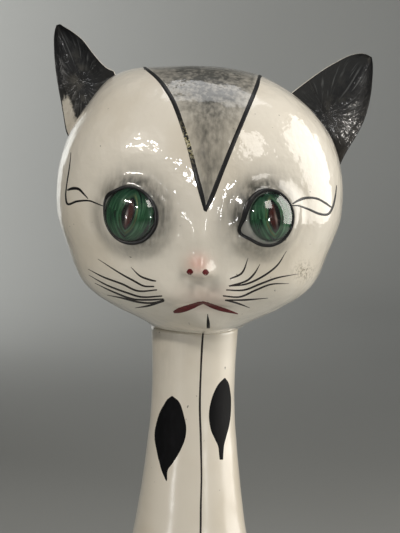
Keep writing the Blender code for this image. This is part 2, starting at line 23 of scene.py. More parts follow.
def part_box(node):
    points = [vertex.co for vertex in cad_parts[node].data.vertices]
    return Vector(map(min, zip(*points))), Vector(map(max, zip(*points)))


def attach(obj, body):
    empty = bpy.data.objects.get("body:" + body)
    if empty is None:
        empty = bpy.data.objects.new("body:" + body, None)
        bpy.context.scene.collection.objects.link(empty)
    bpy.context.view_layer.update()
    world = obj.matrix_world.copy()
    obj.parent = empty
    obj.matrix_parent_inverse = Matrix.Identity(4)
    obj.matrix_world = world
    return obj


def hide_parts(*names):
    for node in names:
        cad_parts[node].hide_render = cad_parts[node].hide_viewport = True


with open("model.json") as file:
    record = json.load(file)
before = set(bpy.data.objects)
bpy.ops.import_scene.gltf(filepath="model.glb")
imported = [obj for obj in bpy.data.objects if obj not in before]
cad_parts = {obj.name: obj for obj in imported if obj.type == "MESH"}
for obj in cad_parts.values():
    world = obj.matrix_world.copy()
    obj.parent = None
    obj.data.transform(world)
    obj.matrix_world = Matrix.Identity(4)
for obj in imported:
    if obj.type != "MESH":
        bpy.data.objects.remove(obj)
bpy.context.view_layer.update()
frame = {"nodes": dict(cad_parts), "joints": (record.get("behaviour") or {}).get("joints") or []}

MM = 0.001
log = logging.getLogger("long_necked_cat")

Mesh = bmesh.types.BMesh
Socket = bpy.types.NodeSocket
Amount = Union[Socket, float]
Paint = Union[Socket, str]
Place = Callable[[float, float], Vector]
Point2 = tuple[float, float]
Point3 = tuple[float, float, float]
Profile = tuple[Point2, ...]

UP = Vector((0, 0, 1))
STEP = 0.01  # how far along a line, as a share, its direction is looked up


# ---- Small tools ----


def smoothstep(low: float, high: float, value: float) -> float:
    """0 below low, 1 above high, and an even rise between them."""
    share = min(max((value - low) / (high - low), 0.0), 1.0)
    return share * share * (3 - 2 * share)


def bump(distance: float, spread: float) -> float:
    """A round swelling: 1 at no distance, fading over the spread."""
    return math.exp(-((distance / spread) ** 2))


def mix(start: float, end: float, share: float) -> float:
    """The value a share of the way from start to end."""
    return start + (end - start) * share


def apart(angle: float, other: float) -> float:
    """How far an angle is from another one, in degrees from -180 to 180."""
    return (angle - other + 180) % 360 - 180


def heading(turn: float) -> Vector:
    """The level direction at an angle in radians, from the front towards the cat's left."""
    return Vector((math.sin(turn), -math.cos(turn), 0))


def read_curve(points: Sequence[Point2], position: float) -> float:
    """Reads a smooth curve through (position, height) points.

    Args:
        points: the curve's points, in order of position.
        position: where to read it; past the ends it keeps the end's height.

    Returns:
        The curve's height there.
    """
    position = min(max(position, points[0][0]), points[-1][0])
    at = max(k for k in range(len(points) - 1) if points[k][0] <= position)
    (start, low), (end, high) = points[at], points[at + 1]
    before = points[max(at - 1, 0)]
    after = points[min(at + 2, len(points) - 1)]
    span = end - start
    slope_in = (high - before[1]) / (end - before[0]) * span
    slope_out = (after[1] - low) / (after[0] - start) * span
    s = (position - start) / span
    return (
        low * (1 + 2 * s) * (1 - s) ** 2
        + slope_in * s * (1 - s) ** 2
        + high * s * s * (3 - 2 * s)
        + slope_out * s * s * (s - 1)
    )


def linear(hex_colour: str) -> tuple[float, float, float, float]:
    """The linear colour of an sRGB hex value."""
    channels = [int(hex_colour[k : k + 2], 16) / 255 for k in (1, 3, 5)]
    lit = [c / 12.92 if c <= 0.04045 else ((c + 0.055) / 1.055) ** 2.4 for c in channels]
    return (*lit, 1.0)


def rgb(hex_colour: str) -> Vector:
    """The same colour as three linear channels, to be blended with others."""
    return Vector(linear(hex_colour)[:3])


def box_centre(node: str) -> Vector:
    """The middle of a CAD node's box, in millimetres."""
    low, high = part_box(node)
    return (low + high) / 2 / MM


def wrapped_grid(columns: int, rows: int, place: Place, **layers: Callable) -> Mesh:
    """A grid laid out by a formula, the way most pieces here start.

    Args:
        columns: how many cells it has in u.
        rows: how many cells it has in v.
        place: where the point (u, v) goes, both from 0 to 1.
        layers: named values kept on each point, each worked out from (u, v).

    Returns:
        The mesh, with doubled points merged and faces turned alike.
    """
    bm = bmesh.new()
    bmesh.ops.create_grid(bm, x_segments=columns, y_segments=rows, size=0.5)
    kept = {name: bm.verts.layers.float.new(name) for name in layers}
    for vert in bm.verts:
        u, v = vert.co.x + 0.5, vert.co.y + 0.5
        vert.co = place(u, v)
        for name, layer in kept.items():
            vert[layer] = layers[name](u, v)
    bmesh.ops.remove_doubles(bm, verts=bm.verts, dist=0.002)
    bmesh.ops.recalc_face_normals(bm, faces=bm.faces)
    return bm


def close_ends(bm: Mesh) -> None:
    """Closes a loft's open ends and turns its faces outward."""
    bmesh.ops.holes_fill(bm, edges=[e for e in bm.edges if e.is_boundary], sides=0)
    bmesh.ops.recalc_face_normals(bm, faces=bm.faces)


def mesh_object(name: str, bm: Mesh, materials: Sequence[bpy.types.Material]) -> bpy.types.Object:
    """Puts a mesh in millimetres into the scene in metres, smooth-shaded; it is freed."""
    bmesh.ops.scale(bm, vec=(MM, MM, MM), verts=bm.verts)
    mesh = bpy.data.meshes.new(name)
    bm.to_mesh(mesh)
    bm.free()
    mesh.shade_smooth()
    for material in materials:
        mesh.materials.append(material)
    made = bpy.data.objects.new(name, mesh)
    bpy.context.scene.collection.objects.link(made)
    return made


# ---- Finishes ----


def add_node(
    tree: bpy.types.NodeTree, kind: str, inputs: dict | None = None, **settings: str
) -> bpy.types.Node:
    """Adds a shader node.

    Args:
        tree: the material's node tree.
        kind: the node's type, without its ShaderNode prefix.
        inputs: a value or another node's socket for each input, by name or number.
        settings: the node's own settings.

    Returns:
        The new node.
    """
    made = tree.nodes.new(f"ShaderNode{kind}")
    for name, value in settings.items():
        setattr(made, name, value)
    for name, value in (inputs or {}).items():
        if isinstance(value, Socket):
            tree.links.new(value, made.inputs[name])
        else:
            made.inputs[name].default_value = value
    return made


class Surface:
    """The node tree of one finish, with the few patterns that the finishes share."""

    def __init__(self, name: str, **values: float) -> None:
        """Makes the material and its shader.

        Args:
            name: the material's name.
            values: the shader's constant inputs, with _ for a space.
        """
        self.material = bpy.data.materials.new(name)
        self.material.use_nodes = True
        self.tree = self.material.node_tree
        self.shader = self.tree.nodes["Principled BSDF"]
        for key, value in values.items():
            self.shader.inputs[self.socket_name(key)].default_value = value
        self.places = add_node(self.tree, "TexCoord").outputs["Object"]

    @staticmethod
    def socket_name(key: str) -> str:
        """The shader's name for one of its inputs, from a keyword with _ for a space."""
        return key.replace("_", " ").title().replace("Ior", "IOR")

    def grain(self, size: float, detail: float = 2.0, stretch: Point3 | None = None) -> Socket:
        """A cloudy pattern.

        Args:
            size: its patches, in millimetres.
            detail: how many finer layers it has.
            stretch: how much longer the patches are along each axis.

        Returns:
            A value from 0 to 1.
        """
        places = self.places
        if stretch is not None:
            scale = [1 / s for s in stretch]
            places = add_node(self.tree, "Mapping", {"Vector": places, "Scale": scale}).outputs[0]
        inputs = {"Vector": places, "Scale": 1 / (size * MM), "Detail": detail}
        return add_node(self.tree, "TexNoise", inputs).outputs["Fac"]

    def kept(self, name: str) -> Socket:
        """The value a piece keeps on its points under this name."""
        return add_node(self.tree, "Attribute", attribute_name=name).outputs["Fac"]

    def between(self, value: Socket, low: float, high: float) -> Socket:
        """0 where the value is below low, 1 above high, smooth between."""
        inputs = {"Value": value, "From Min": low, "From Max": high}
        return add_node(self.tree, "MapRange", inputs, interpolation_type="SMOOTHSTEP").outputs[0]

    def times(self, first: Socket, second: Amount) -> Socket:
        """A value multiplied by another."""
        return add_node(self.tree, "Math", {0: first, 1: second}, operation="MULTIPLY").outputs[0]

    def plus(self, first: Socket, second: Amount) -> Socket:
        """A value added to another."""
        return add_node(self.tree, "Math", {0: first, 1: second}, operation="ADD").outputs[0]

    def layer(self, under: Paint, over: Paint, amount: Amount, how: str = "MIX") -> Socket:
        """Puts one colour over another.

        Args:
            under: the colour below, as a socket or a hex value.
            over: the colour on top, likewise.
            amount: how much of it shows.
            how: the way they mix.

        Returns:
            The mixed colour.
        """
        colours = [linear(c) if isinstance(c, str) else c for c in (under, over)]
        inputs = {0: amount, 6: colours[0], 7: colours[1]}
        return add_node(self.tree, "Mix", inputs, data_type="RGBA", blend_type=how).outputs[2]

    def link(self, **sockets: Socket) -> None:
        """Links patterns to the shader's inputs, with _ for a space."""
        for name, socket in sockets.items():
            self.tree.links.new(socket, self.shader.inputs[self.socket_name(name)])

    def relief(self, height: Socket, depth: float, coat: bool = True) -> None:
        """Raises the surface by a pattern.

        Args:
            height: the pattern.
            depth: its height, in millimetres.
            coat: whether the clear coat follows it.
        """
        raised = add_node(self.tree, "Bump", {"Height": height, "Distance": depth * MM}).outputs[0]
        self.tree.links.new(raised, self.shader.inputs["Normal"])
        if coat:
            self.tree.links.new(raised, self.shader.inputs["Coat Normal"])


@dataclass(frozen=True)
class Lacquer:
    """Cream gesso over papier-mache under brushed clear lacquer: wet gloss over a rippled skin."""

    name: str = "lacquered_papier_mache"
    cream: str = "#E7E0D2"
    shade: str = "#DED5C4"
    smoke: str = "#45443D"
    blush: str = "#D39C8B"
    stain: str = "#8B7F68"
    gloss: float = 0.04
    ripple: float = 5.0
    ripple_depth: float = 0.34
    peel: float = 0.2

    def material(self) -> bpy.types.Material:
        """Cream, airbrushed smoke, painted shade, blush, a stain, specks and a hand-brushed coat.
        """
        s = Surface(self.name, roughness=0.38, ior=1.5, coat_weight=1.0, coat_roughness=self.gloss)
        colour = s.layer(self.cream, self.shade, s.between(s.grain(28, 3), 0.42, 0.68))
        blotches = s.between(s.grain(4.5, 5), 0.25, 0.75)
        streaks = s.between(s.grain(1.3, 4, (1, 1, 5)), 0.25, 0.75)
        mottled = s.plus(s.times(blotches, 0.3), s.times(streaks, 0.4))
        # the kept value is airbrushed grey mixed with painted shade: round the eyes, under the
        # chin, in grooves
        smoke = s.times(s.kept("smoke"), s.plus(mottled, 0.6))
        colour = s.layer(colour, self.smoke, smoke)
        colour = s.layer(colour, self.blush, s.kept("blush"))
        speckle = s.between(s.grain(0.9, 3), 0.46, 0.6)
        colour = s.layer(colour, self.stain, s.times(s.kept("stain"), speckle))
        specks = s.between(s.grain(1.1, 0), 0.86, 0.88)
        colour = s.layer(colour, "#4A4238", s.times(specks, 0.7))
        s.link(base_color=colour)
        waves = s.plus(s.grain(self.ripple, 1), s.times(s.grain(1.3, 1), self.peel))
        s.relief(waves, self.ripple_depth)
        return s.material


@dataclass(frozen=True)
class Enamel:
    """Point3 sign-painter's enamel under the lacquer: a dense, slightly uneven gloss line."""

    name: str
    colour: str
    thin: str
    gloss: float = 0.08
    coat: float = 0.3
    worn: bool = False

    def material(self) -> bpy.types.Material:
        """Dense where the brush was loaded, thinner along its bristles, chipped where worn."""
        s = Surface(
            self.name, roughness=0.5, ior=1.5, specular_ior_level=0.3, coat_weight=self.coat,
            coat_roughness=self.gloss,
        )
        colour = s.layer(self.colour, self.thin, s.between(s.grain(0.8, 3), 0.5, 0.75))
        if self.worn:
            flakes = s.between(s.grain(0.75, 3), 0.47, 0.53)
            chipped = s.times(s.kept("wear"), flakes)
            gilt = s.layer("#C9C2A4", "#7A7040", s.between(s.grain(0.5, 1), 0.4, 0.6))
            colour = s.layer(colour, gilt, chipped)
        s.link(base_color=colour)
        s.relief(s.grain(1.1, 2), 0.03)
        return s.material


@dataclass(frozen=True)
class MattPaint:
    """Thick black poster paint, left matt: the spots swallow light, with a dull edge."""

    name: str = "matt_black_poster_paint"

    def material(self) -> bpy.types.Material:
        """Near-black with faint brush drag and hardly any sheen."""
        s = Surface(self.name, roughness=0.6, ior=1.4, specular_ior_level=0.2)
        s.link(
            base_color=s.layer(
                "#060608", "#0F0F12", s.between(s.grain(1.5, 3, (1, 1, 3)), 0.45, 0.8),
            )
        )
        s.relief(s.grain(0.9, 2), 0.02, coat=False)
        return s.material


@dataclass(frozen=True)
class EarEnamel:
    """Black enamel dragged out with a dry brush: grey bristle marks fan from the ear's middle."""

    name: str = "dry_brushed_black_enamel"
    black: str = "#0A0C11"
    bristle: str = "#77797A"
    scuff: str = "#56544E"

    def material(self) -> bpy.types.Material:
        """Bristle marks read the ear's own fan and reach; bare cream shows where it ran out."""
        s = Surface(self.name, roughness=0.5, ior=1.45, coat_weight=0.7, coat_roughness=0.07)
        fan, reach = s.kept("fan"), s.kept("reach")
        drawn = add_node(s.tree, "CombineXYZ", {0: s.times(fan, 46), 1: s.times(reach, 1.6)})
        marks = add_node(
            s.tree, "TexNoise", {"Vector": drawn.outputs[0], "Scale": 1.0, "Detail": 3},
        )
        fine = s.between(marks.outputs["Fac"], 0.52, 0.68)
        ring = s.times(s.between(reach, 0.2, 0.5), s.between(reach, 0.93, 0.68))
        colour = s.layer(self.black, self.bristle, s.times(fine, s.times(ring, 0.55)))
        cloud = s.times(s.between(s.grain(3.5, 4), 0.45, 0.7), s.between(reach, 0.62, 0.15))
        colour = s.layer(colour, self.scuff, s.times(cloud, 0.6))
        ragged = s.plus(s.kept("bare"), s.times(s.grain(0.9, 4), 0.7))
        colour = s.layer(colour, "#DAD5CA", s.between(ragged, 0.66, 1.1))
        s.link(base_color=colour)
        s.relief(s.plus(marks.outputs["Fac"], s.grain(1.6, 2)), 0.24)
        return s.material


@dataclass(frozen=True)
class IrisPaint:
    """Hand-painted enamel iris behind the glass; its colours are kept on the dome's points."""

    name: str = "painted_iris_enamel"

    def material(self) -> bpy.types.Material:
        """The painted colours under a fine brush grain."""
        s = Surface(self.name, roughness=0.25, ior=1.5, coat_weight=1.0, coat_roughness=0.02)
        paint = add_node(s.tree, "Attribute", attribute_name="paint").outputs["Color"]
        s.link(base_color=s.layer(paint, "#0C2A1E", s.times(s.grain(0.5, 3), 0.16), "MULTIPLY"))
        return s.material


@dataclass(frozen=True)
class Glass:
    """Clear blown glass: nothing but sharp reflections over the painted iris."""

    name: str = "clear_blown_glass"

    def material(self) -> bpy.types.Material:
        """Full transmission with a faint waviness from blowing."""
        s = Surface(self.name, roughness=0.0, ior=1.5, transmission_weight=1.0)
        s.relief(s.grain(4, 0), 0.02, coat=False)
        return s.material


@dataclass(frozen=True)
class BareWood:
    """Sanded pine: pale, open grain running up the piece."""

    name: str = "sanded_pine"

    def material(self) -> bpy.types.Material:
        """Growth rings drawn as bands, with fibres along the grain."""
        s = Surface(self.name, roughness=0.62, ior=1.47)
        drawn = {"Vector": s.places, "Scale": 1 / (9 * MM), "Distortion": 3.5, "Detail": 2}
        rings = add_node(s.tree, "TexWave", drawn, bands_direction="X").outputs["Fac"]
        fibres = s.grain(0.7, 3, (1, 1, 14))
        colour = s.layer("#D9B27C", "#B98A52", s.times(rings, 0.6))
        s.link(base_color=s.layer(colour, "#8E6236", s.times(s.between(fibres, 0.5, 0.8), 0.5)))
        s.relief(fibres, 0.08, coat=False)
        return s.material


@dataclass(frozen=True)
class Dusty:
    """A dull mineral or fibrous stuff: cast plaster, hand-pressed putty, pressed wool felt."""

    name: str
    colour: str
    shade: str
    grit: float
    depth: float
    sheen: float = 0.0

    def material(self) -> bpy.types.Material:
        """Two tones of one colour in patches and grit, with no gloss."""
        s = Surface(self.name, roughness=0.92, ior=1.45, sheen_weight=self.sheen)
        patches = s.layer(self.colour, self.shade, s.between(s.grain(self.grit * 9, 3), 0.35, 0.7))
        grit = s.grain(self.grit, 4)
        s.link(base_color=s.layer(patches, self.shade, s.times(s.between(grit, 0.5, 0.7), 0.5)))
        s.relief(grit, self.depth, coat=False)
        return s.material


@dataclass(frozen=True)
class ZincSteel:
    """Zinc-plated steel: a pale metal with a drawn grain and a few dull spots."""

    name: str = "zinc_plated_steel"

    def material(self) -> bpy.types.Material:
        """Metal whose roughness wanders with the plating."""
        s = Surface(self.name, metallic=1.0)
        spots = s.between(s.grain(1.8, 3), 0.4, 0.7)
        s.link(base_color=s.layer("#B9BCC0", "#8D9094", spots))
        s.link(
            roughness=add_node(s.tree, "MapRange", {"Value": spots, 3: 0.28, 4: 0.5}).outputs[0]
        )
        s.relief(s.grain(0.4, 2, (1, 1, 8)), 0.02, coat=False)
        return s.material


class Finish(Enum):
    """Every finish on the figure, each made once."""

    HEAD_LACQUER = Lacquer()
    BODY_LACQUER = Lacquer(
        "satin_lacquered_papier_mache", "#E6DECF", "#DCD2C0", gloss=0.2, ripple_depth=0.06,
    )
    BLACK = Enamel("black_enamel_line", "#08080A", "#141212", gloss=0.15)
    SPOT = MattPaint()
    STRIPE = Enamel(
        "chipped_black_enamel_line", "#08080A", "#141212", gloss=0.2, coat=0.2, worn=True,
    )
    BROWN_LINE = Enamel("thin_brown_black_enamel_line", "#1C1614", "#382C26", gloss=0.2)
    RED = Enamel("dark_red_enamel", "#5C0D12", "#78191D")
    EAR = EarEnamel()
    IRIS = IrisPaint()
    GLASS = Glass()
    WOOD = BareWood()
    PLASTER = Dusty("cast_plaster", "#E4E0D6", "#CFC9BB", 0.6, 0.08)
    PUTTY = Dusty("hand_pressed_putty", "#A79B82", "#8A7E66", 1.2, 0.15)
    FELT = Dusty("pressed_wool_felt", "#24402F", "#182C20", 0.35, 0.2, sheen=0.6)
    STEEL = ZincSteel()

    def material(self) -> bpy.types.Material:
        """The finish's material, made the first time it is asked for."""
        return bpy.data.materials.get(self.value.name) or self.value.material()


def put_piece(
    name: str,
    bm: Mesh,
    finishes: Sequence[Finish],
    body: str,
    replaces: Sequence[str] = (),
    wall: float = 0.0,
) -> bpy.types.Object:
    """Makes a finished mesh a piece of the figure.

    Args:
        name: the piece's name.
        bm: its mesh in millimetres; it is freed.
        finishes: its materials, in the order of the faces' material numbers.
        body: the CAD body it moves with.
        replaces: the CAD nodes it stands for.
        wall: a thickness given to an open skin, in millimetres.

    Returns:
        The new object.
    """
    made = mesh_object(name, bm, [finish.material() for finish in finishes])
    if wall:
        thick = made.modifiers.new("thickness", "SOLIDIFY")
        thick.thickness = wall * MM
        thick.offset = -1
    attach(made, body)
    if replaces:
        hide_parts(*replaces)
    log.info("%s: %d faces on %s", name, len(made.data.polygons), body)
    return made


# ---- Brushwork ----


@dataclass(frozen=True)
class Viewpoint:
    """Where a painter looks from; a brush mark is placed on the upright plane they face."""

    aim: Vector
    azimuth: float = 0.0
    elevation: float = 6.5
    distance: float = 550.0

    @property
    def back(self) -> Vector:
        """The way from the aim to the eye."""
        turn, rise = math.radians(self.azimuth), math.radians(self.elevation)
        level = math.cos(rise)
        return Vector((math.sin(turn) * level, -math.cos(turn) * level, math.sin(rise)))

    @property
    def eye(self) -> Vector:
        """The painter's eye."""
        return self.aim + self.back * self.distance

    def on_plane(self, x: float, height: float) -> Vector:
        """The place on the plane through the neck's axis, x to the right and a height up."""
        turn = math.radians(self.azimuth)
        return Vector((x * math.cos(turn), x * math.sin(turn), height))

    def seen(self, point: Vector) -> Point2:
        """Where a point shows on that plane, as x and height."""
        turn = math.radians(self.azimuth)
        facing = heading(turn)
        ray = point - self.eye
        hit = self.eye + ray * (-self.eye.dot(facing) / ray.dot(facing))
        return hit.x * math.cos(turn) + hit.y * math.sin(turn), hit.z


@dataclass
class Brush:
    """Lays strokes of enamel on a skin as seen from one viewpoint."""

    skin: BVHTree
    view: Viewpoint
    datum: float = 0.0
    lift: float = 0.09
    cell: float = 0.55
    NEAR = 12.0  # how far in front of the plane a mark is when its ray misses the skin
    THINNEST = 0.05
    PRESSED = 1.25  # an edge pressed this share of the lift below the crown ends in the skin

    def touch(self, x: float, height: float) -> tuple[Vector, Vector]:
        """Where a mark at (x, height above the datum) meets the skin, and the skin's normal."""
        aimed = self.view.on_plane(x, height + self.datum)
        ray = (aimed - self.view.eye).normalized()
        point, normal, _, _ = self.skin.ray_cast(self.view.eye, ray)
        if point is None:
            point, normal, _, _ = self.skin.find_nearest(aimed + self.view.back * self.NEAR)
        return point, normal

    def stroke(self, marks: Sequence[Point3], wear: Point2 | None = None) -> Mesh:
        """One stroke, domed across and pressed into the skin at its edges.

        Args:
            marks: (x, height, width) along the stroke.
            wear: the heights between which it is chipped, if it is.

        Returns:
            Its ribbon.
        """
        ticks = [0.0]
        for a, b in zip(marks, marks[1:]):
            ticks.append(ticks[-1] + math.dist(a[:2], b[:2]))
        widest = max(m[2] for m in marks)
        along = max(8, round(ticks[-1] / self.cell))
        across = max(4, round(widest / self.cell) * 2)
        curves = [[(t, m[k]) for t, m in zip(ticks, marks)] for k in range(3)]

        def centre(share: float) -> Vector:
            """The middle line's place at a share of its length."""
            at = share * ticks[-1]
            return Vector((read_curve(curves[0], at), read_curve(curves[1], at)))

        def place(u: float, v: float) -> Vector:
            """The ribbon's place, domed across."""
            middle = centre(v)
            ahead = (centre(min(v + STEP, 1)) - centre(max(v - STEP, 0))).normalized()
            width = max(read_curve(curves[2], v * ticks[-1]), self.THINNEST)
            spot = middle + Vector((ahead.y, -ahead.x)) * (u - 0.5) * width
            point, normal = self.touch(spot.x, spot.y)
            edge = abs(2 * u - 1)
            return point + normal * self.lift * (1 - self.PRESSED * edge**4)

        def chipped(_: float, v: float) -> float:
            """How worn the ribbon is, most in the middle of the worn stretch."""
            if wear is None:
                return 0.0
            height = centre(v).y
            return bump(height - sum(wear) / 2, (wear[1] - wear[0]) / 2)

        bm = wrapped_grid(across, along, place, wear=chipped)
        middle_face = min(bm.faces, key=lambda f: f.index)
        outward = self.view.eye - middle_face.calc_center_median()
        if middle_face.normal.dot(outward) < 0:
            bmesh.ops.reverse_faces(bm, faces=bm.faces)
        return bm


def joined(meshes: Iterable[Mesh]) -> Mesh:
    """All the meshes as one, values on their points kept; each is freed."""
    whole = bmesh.new()
    for bm in meshes:
        part = bpy.data.meshes.new("part")
        bm.to_mesh(part)
        bm.free()
        whole.from_mesh(part)
        bpy.data.meshes.remove(part)
    return whole


def put_marks(name: str, strokes: Iterable[Mesh], finish: Finish, body: str, wall: float) -> None:
    """Joins brush strokes into one painted piece, its paint as thick as the wall says."""
    put_piece(name, joined(strokes), [finish], body, wall=wall)


# ---- Eyes ----


@dataclass
class Eye:
    """A glass eye in its socket: the hollow and lids round it, and the pieces in it.

    Angles run round the line of sight from the cat's left, towards the top of its head.
    """

    name: str
    radius: float = 9.8
    dome: float = 6.9
    proud: float = -0.6
    opening: float = 8.5
    corner_angle: float = 150.0
    corner_reach: float = 0.8
    corner_spread: float = 22.0
    flat_angle: float = 60.0
    flat_depth: float = 0.3
    line: Profile = ((0.0, 0.6), (360.0, 0.6))
    dark_side: float = -1.0
    disc: Point2 = (0.2, 0.0)
    disc_radius: float = 8.3
    pupil: Point2 = (0.5, 0.3)
    pupil_tilt: float = 12.0
    REACH = 40.0  # skin farther than this from the line of sight stays as it is
    BEHIND = 25.0  # and so does skin this far behind the eye
    SMOKE_AND_SHADE_BEHIND = 12.0
    DISC_SEAT = 1.4  # from the CAD disc's middle out to the lids' plane
    FLAT_SPREAD = 40.0
    WALL_SHARE = 0.9  # share of a dome's rows on its round side; the rest close its flat one
    base: Vector = field(init=False)
    axis: Vector = field(init=False)
    across: Vector = field(init=False)
    up: Vector = field(init=False)

    def __post_init__(self) -> None:
        """Finds the eye's place and line of sight from its CAD disc and putty."""
        disc, putty = box_centre(f"eye_iris_{self.name}"), box_centre(f"eye_putty_{self.name}")
        self.axis = (disc - putty).normalized()
        self.across = UP.cross(self.axis).normalized()
        self.up = self.axis.cross(self.across)
        self.base = disc + self.axis * self.DISC_SEAT

    def at(self, right: float, rise: float, out: float) -> Vector:
        """A point from its place across, up and out along the line of sight."""
        return self.base + self.across * right + self.up * rise + self.axis * out

    def lid(self, angle: float) -> float:
        """How far the lid's edge is from the middle, at an angle in degrees."""
        corner = self.corner_reach * bump(apart(angle, self.corner_angle), self.corner_spread)
        flat = self.flat_depth * bump(apart(angle, self.flat_angle), self.FLAT_SPREAD)
        return self.opening + corner - flat

    def dome_height(self, away: float, shrink: float = 0.0) -> float:
        """How far the glass stands out at a distance from its middle."""
        radius, dome = self.radius - shrink, self.dome - shrink
        return self.proud + dome * math.sqrt(max(1 - (away / radius) ** 2, 0.0))

    def seat(self, point: Vector) -> Vector:
        """Moves a point of the head's skin into this eye's hollow, lids or socket."""
        offset = point - self.base
        right, rise, out = offset.dot(self.across), offset.dot(self.up), offset.dot(self.axis)
        away = math.hypot(right, rise)
        if away > self.REACH or out < -self.BEHIND:
            return point
        angle = math.degrees(math.atan2(rise, right))
        beyond = away - self.lid(angle)
        out -= 2.6 * bump(away, 14.5)
        edge = self.dome_height(self.lid(angle)) + 0.05
        lid = edge - 0.07 * max(beyond, 0) ** 1.6 - 6.5 * smoothstep(0.0, 1.3, -beyond)
        out = mix(out, lid, 1 - smoothstep(0.3, 6.5, beyond))
        return self.at(right, rise, out)

    def shade(self, point: Vector) -> float:
        """How much airbrushed grey and painted shade a point of the skin gets from this eye."""
        offset = point - self.base
        right, rise = offset.dot(self.across), offset.dot(self.up)
        if offset.dot(self.axis) < -self.SMOKE_AND_SHADE_BEHIND:
            return 0.0
        beyond = math.hypot(right, rise) - self.opening
        angle = math.degrees(math.atan2(rise, right))
        inner = 180.0 if self.base.x > 0 else 0.0
        toward_nose = bump(apart(angle, inner), 70)
        above = bump(apart(angle, 100), 60)
        below = bump(apart(angle, -70), 50)
        # airbrushed grey all round, plus painted shade in the hollow by the nose and above the eye
        strength = 0.3 + 0.5 * toward_nose + 0.5 * above + 0.15 * below
        return strength * bump(max(beyond - 0.6, 0), 4.6)

    def painted(self, right: float, rise: float) -> tuple[float, float, float, float]:
        """The iris's painted colour at a place behind the glass.

        Args:
            right: millimetres from the middle towards the cat's left.
            rise: millimetres above the middle.

        Returns:
            A linear colour.
        """
        away = math.hypot(right, rise)
        turn = math.radians(self.pupil_tilt)
        x, y = right - self.pupil[0], rise - self.pupil[1]
        x, y = x * math.cos(turn) - y * math.sin(turn), x * math.sin(turn) + y * math.cos(turn)
        half_length, half_width = 5.0, 2.05
        slit = math.hypot(x / half_width, y / half_length)
        leaf = abs(x) / half_width + (abs(y) / half_length) ** 2
        slit = mix(slit, leaf, 0.5)
        round_pupil = math.atan2(y, x) * 0.9
        brushed = noise.noise(Vector((slit * 3.4, round_pupil, 3.0)))
        swirled = noise.noise(Vector((slit * 7.5, round_pupil * 1.6, 7.0)))
        dark, black = rgb("#173F33"), rgb("#0A0605")
        colour = rgb("#377850")
        colour = colour.lerp(rgb("#62A376"), smoothstep(0.0, 0.5, brushed + 0.5 * swirled))
        colour = colour.lerp(dark, smoothstep(0.05, 0.5, -brushed + 0.4 * swirled))
        colour = colour.lerp(dark, smoothstep(1.0, 7.0, rise) * 0.4)
        colour = colour.lerp(rgb("#0E2B22"), smoothstep(6.2, 9.0, away) * 0.8)
        sunlit = smoothstep(-0.5, 0.9, -self.dark_side * x)
        halo = bump(slit - 1.3, 0.14) * (0.15 + 0.6 * sunlit) * smoothstep(-0.5, 0.3, swirled)
        colour = colour.lerp(rgb("#9AA462"), halo)
        red = rgb("#5C1B10").lerp(black, smoothstep(0.1, 0.7, self.dark_side * x))
        red = red.lerp(black, smoothstep(0.6, 0.92, slit))
        colour = colour.lerp(red, 1 - smoothstep(0.96, 1.06, slit))
        glint = bump(x - self.dark_side * 0.35 + 0.08 * y, 0.3) * bump(y + 0.9, 1.9)
        colour = colour.lerp(rgb("#E2C8BC"), glint * 0.9)
        rim = math.hypot(right - self.disc[0], rise - self.disc[1]) - self.disc_radius
        colour = colour.lerp(rgb("#0F2A20"), bump(rim + 0.2, 0.35) * 0.8)
        white = rgb("#B9BBB2").lerp(rgb("#EFEEE6"), smoothstep(0.1, 0.8, rim))
        colour = colour.lerp(white, smoothstep(-0.05, 0.25, rim))
        return (*colour, 1.0)

    def cap(self, shrink: float, rings: int, sectors: int, floor: float) -> Mesh:
        """A closed dome, its round side out, with its flat side at the floor."""

        def place(u: float, v: float) -> Vector:
            """The dome's place: out along its round side, then back in along its flat one."""
            turn = math.tau * u
            if v < self.WALL_SHARE:
                lean = v / self.WALL_SHARE * math.pi / 2
                away = (self.radius - shrink) * math.sin(lean)
                out = self.proud + (self.dome - shrink) * math.cos(lean)
            else:
                away = (self.radius - shrink) * (1 - (v - self.WALL_SHARE) / (1 - self.WALL_SHARE))
                out = floor
            return self.at(away * math.cos(turn), away * math.sin(turn), out)

        return wrapped_grid(sectors, rings, place)

    def make_glass(self) -> None:
        """The clear dome."""
        bm = self.cap(0.0, 40, 96, -0.8)
        name = self.name
        put_piece(
            f"glass_dome_{name}", bm, [Finish.GLASS], "head", [f"eye_glass_{name}"]
        )

    def make_iris(self) -> None:
        """The painted dome behind the glass, its colours kept on its points."""
        bm = self.cap(0.35, 110, 150, -1.1)
        paint = bm.verts.layers.float_color.new("paint")
        for vert in bm.verts:
            offset = vert.co - self.base
            vert[paint] = self.painted(offset.dot(self.across), offset.dot(self.up))
        name = self.name
        put_piece(
            f"painted_iris_{name}", bm, [Finish.IRIS], "head", [f"eye_iris_{name}"]
        )

    def make_line(self) -> None:
        """The black line painted round the lid's edge, thick on one side."""

        def place(u: float, v: float) -> Vector:
            """The line's place: v runs round the lid and u round the line."""
            angle = 360 * v
            turn = math.radians(angle)
            thick = read_curve(self.line, angle)
            thick *= 1 + 0.12 * noise.noise(Vector((math.cos(turn) * 4, math.sin(turn) * 4, 1)))
            roll = math.tau * u
            away = self.lid(angle) + thick * 0.25 + thick * math.cos(roll)
            out = self.dome_height(self.lid(angle)) + 0.1 + 0.6 * thick * math.sin(roll)
            return self.at(away * math.cos(turn), away * math.sin(turn), out)

        bm = wrapped_grid(16, 160, place)
        put_piece(f"eye_line_{self.name}", bm, [Finish.BLACK], "head")

    def build(self) -> None:
        """Makes the eye's glass, iris and line."""
        self.make_glass()
        self.make_iris()
        self.make_line()


